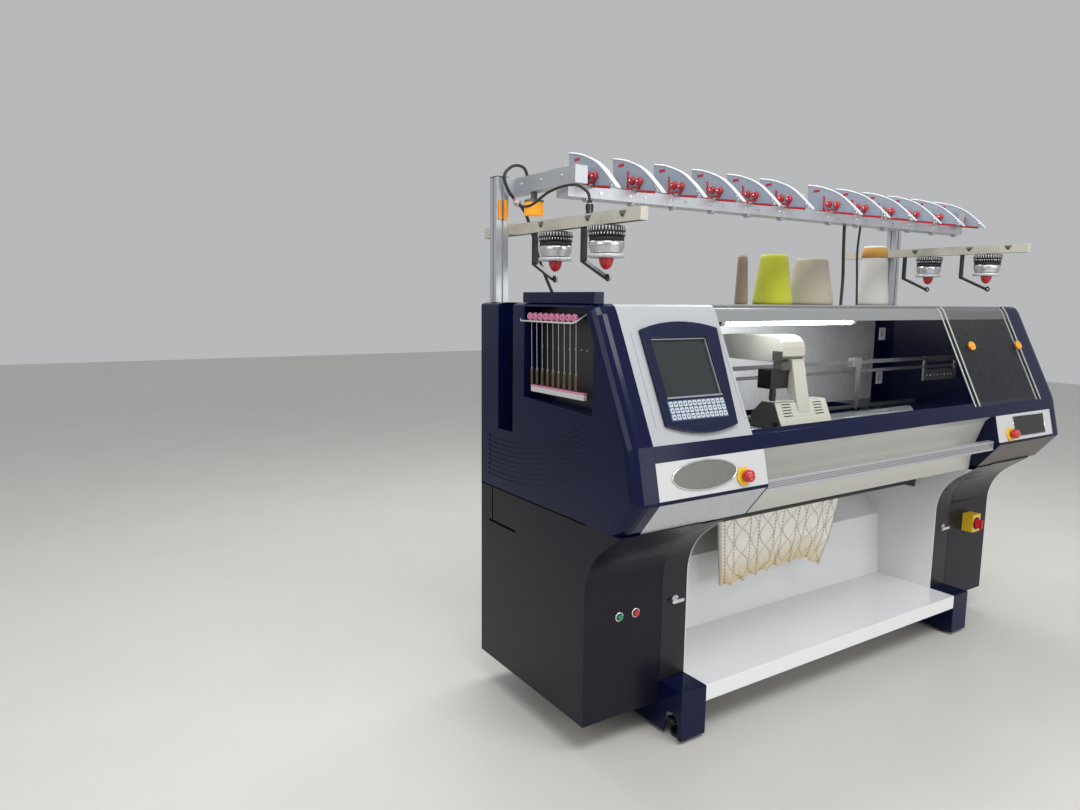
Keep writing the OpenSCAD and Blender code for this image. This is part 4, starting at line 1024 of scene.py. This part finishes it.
def beds():
    """Two rows of needle tips, and a strip along the front bed."""
    piece = Piece("needle_rows")
    for side in (-1, 1):
        for k in range(NEEDLES):
            x = FIRST_NEEDLE_X + NEEDLE_PITCH * k
            foot, tip = BED_Y + side * 24, BED_Y + side * 4.5
            needle = [(foot, 1018), (tip, 1037.5), (tip + side * 1.5, 1039), (foot + side * 2, 1020)]
            piece.add(prism(needle, x, x + NEEDLE_W), chrome)
    piece.make("frame", "bed_steel")
    rail = Piece("bed_trims")
    rail.add(box((-772, -358, 1012), (1130, -352, 1030)), aluminium)
    rail.make("frame", "bed_steel", bevel=0.4)


SOCKETS_Z = (1343, 1107)
SOCKETS_X = (1086, 1124)
TUBE_ENDS_X = (-727, -5)
BAR_GROOVES = 4


def trims():
    """Seams of the left side, rims of the badges, wall sockets, painted shade in the bar's grooves and the
    tube's ends.
    """
    piece = Piece("housing_trims")
    low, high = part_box("left_cabinet")
    rear, inner, proud = high.y / MM, SIDE_X + 5, SIDE_X - 0.4
    piece.add(box((proud, -286, 797), (inner, rear, 802)), gap_black)
    piece.add(box((proud, 309, 669), (inner, 315, 800)), gap_black)
    piece.add(box((proud, 145, 660), (inner, 339, 668)), gap_black)
    piece.add(box((SIDE_X, -286, low.z / MM), (SIDE_X + 3, rear, low.z / MM + 4)), wire_grey)
    rim = [(135 * math.cos(math.tau * k / 64) - 1001, 62 + 44.5 * math.sin(math.tau * k / 64), 2.2)
           for k in range(64)]
    piece.add(pipe(rim, 2.2, 8, True), chrome, True, NOSE)
    frame_line = [(*corner, 2) for corner in rect(857, 15, 1123, 103)]
    piece.add(pipe(frame_line, 1.6, 8, True), chrome, True, NOSE)
    piece.make("frame", "chrome")
    sockets = Piece("wall_sockets")
    for z in SOCKETS_Z:
        for x in SOCKETS_X:
            sockets.add(box((x, 295, z - 33), (x + 34, 301, z + 33)), white_gloss)
            sockets.add(box((x + 11, 294.5, z - 15), (x + 23, 296, z + 15)), wire_grey)
    sockets.make("frame", "off_white", bevel=0.8)
    low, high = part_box("operating_bar")
    grooves = Piece("bar_groove_shade")
    start, end = low.x / MM + 12, high.x / MM - 12
    # Painted shade: dark strips in the bar's grooves
    for k in range(BAR_GROOVES):
        z = BAR_FOOT + 10 + 6 * k
        grooves.add(box((start, BAR_FACE + 1.2, z), (end, BAR_FACE + 3, z + 2)), painted_shade_grey)
    grooves.make("operating_bar", "aluminium")
    ends = Piece("light_tube_ends")
    for x in TUBE_ENDS_X:
        ends.add(lathe([(0, 0), (12, 0), (12, 22), (0, 22)], (x, -295, 1433), "x", 24), off_white, True)
    ends.make("frame", "off_white", bevel=0.6)


cords()
fabric()
cones()
stand()
for drum in DRUMS:
    feeder(*drum)
lamp()
side_tension()
display()
push_fittings()
covers()
carriage()
beds()
trims()
soften(2.0, "base_frame", "fabric_shelf", "yarn_table", "front_apron", "under_panels", "feeder_arms",
       "yarn_stand")
soften(1.2, "left_leg_cover", "right_leg_cover", "name_plates", "display_frame", "operating_bar",
       "front_beam", "main_switch_box", "main_switch_knob", "e_stop_bases", "wing_lock_left",
       "wing_lock_right", "badges")
soften(4.0, "carriage_bridge", "carriage_front_box", "left_cabinet", "right_cabinet")

# Floor, world and lights
floor_mesh = bpy.data.meshes.new("floor")
floor_mesh.from_pydata([(-14, -10, 0), (14, -10, 0), (14, 18, 0), (-14, 18, 0)], [], [(0, 1, 2, 3)])
floor = bpy.data.objects.new("floor", floor_mesh)
scene.collection.objects.link(floor)
floor.data.materials.append(solid("floor_pale", (0.62, 0.6, 0.56), 0.35, vary=0.02, size=2.0, spread=0.04))

world = bpy.data.worlds.new("world")
scene.world = world
world.use_nodes = True
world.node_tree.nodes["Background"].inputs["Color"].default_value = (0.86, 0.88, 0.9, 1.0)
world.node_tree.nodes["Background"].inputs["Strength"].default_value = 0.55


def area(name, at, target, size, power):
    """A white rectangular lamp that faces its target."""
    data = bpy.data.lights.new(name, "AREA")
    data.shape = "RECTANGLE"
    data.size, data.size_y = size
    data.energy = power
    light = bpy.data.objects.new(name, data)
    light.location = at
    light.rotation_euler = (Vector(target) - Vector(at)).to_track_quat("-Z", "Y").to_euler()
    scene.collection.objects.link(light)


area("ceiling_front", (-1.0, -2.6, 4.4), (0.0, -0.4, 1.0), (4.5, 1.2), 135.0)
area("ceiling_rear", (0.6, 1.8, 4.2), (0.0, 0.0, 1.0), (5.0, 1.2), 120.0)
area("front_fill", (0.8, -5.4, 2.0), (0.3, 0.0, 0.6), (5.0, 2.0), 75.0)
area("machine_lamp", (-0.1, -0.12, 1.415), (0.0, 0.3, 1.15), (0.9, 0.02), 3.2)
area("left_fill", (-5.0, -1.0, 2.6), (-0.6, 0.0, 0.8), (2.5, 2.5), 40.0)
scene.view_settings.view_transform = "Standard"
scene.view_settings.exposure = 0.0
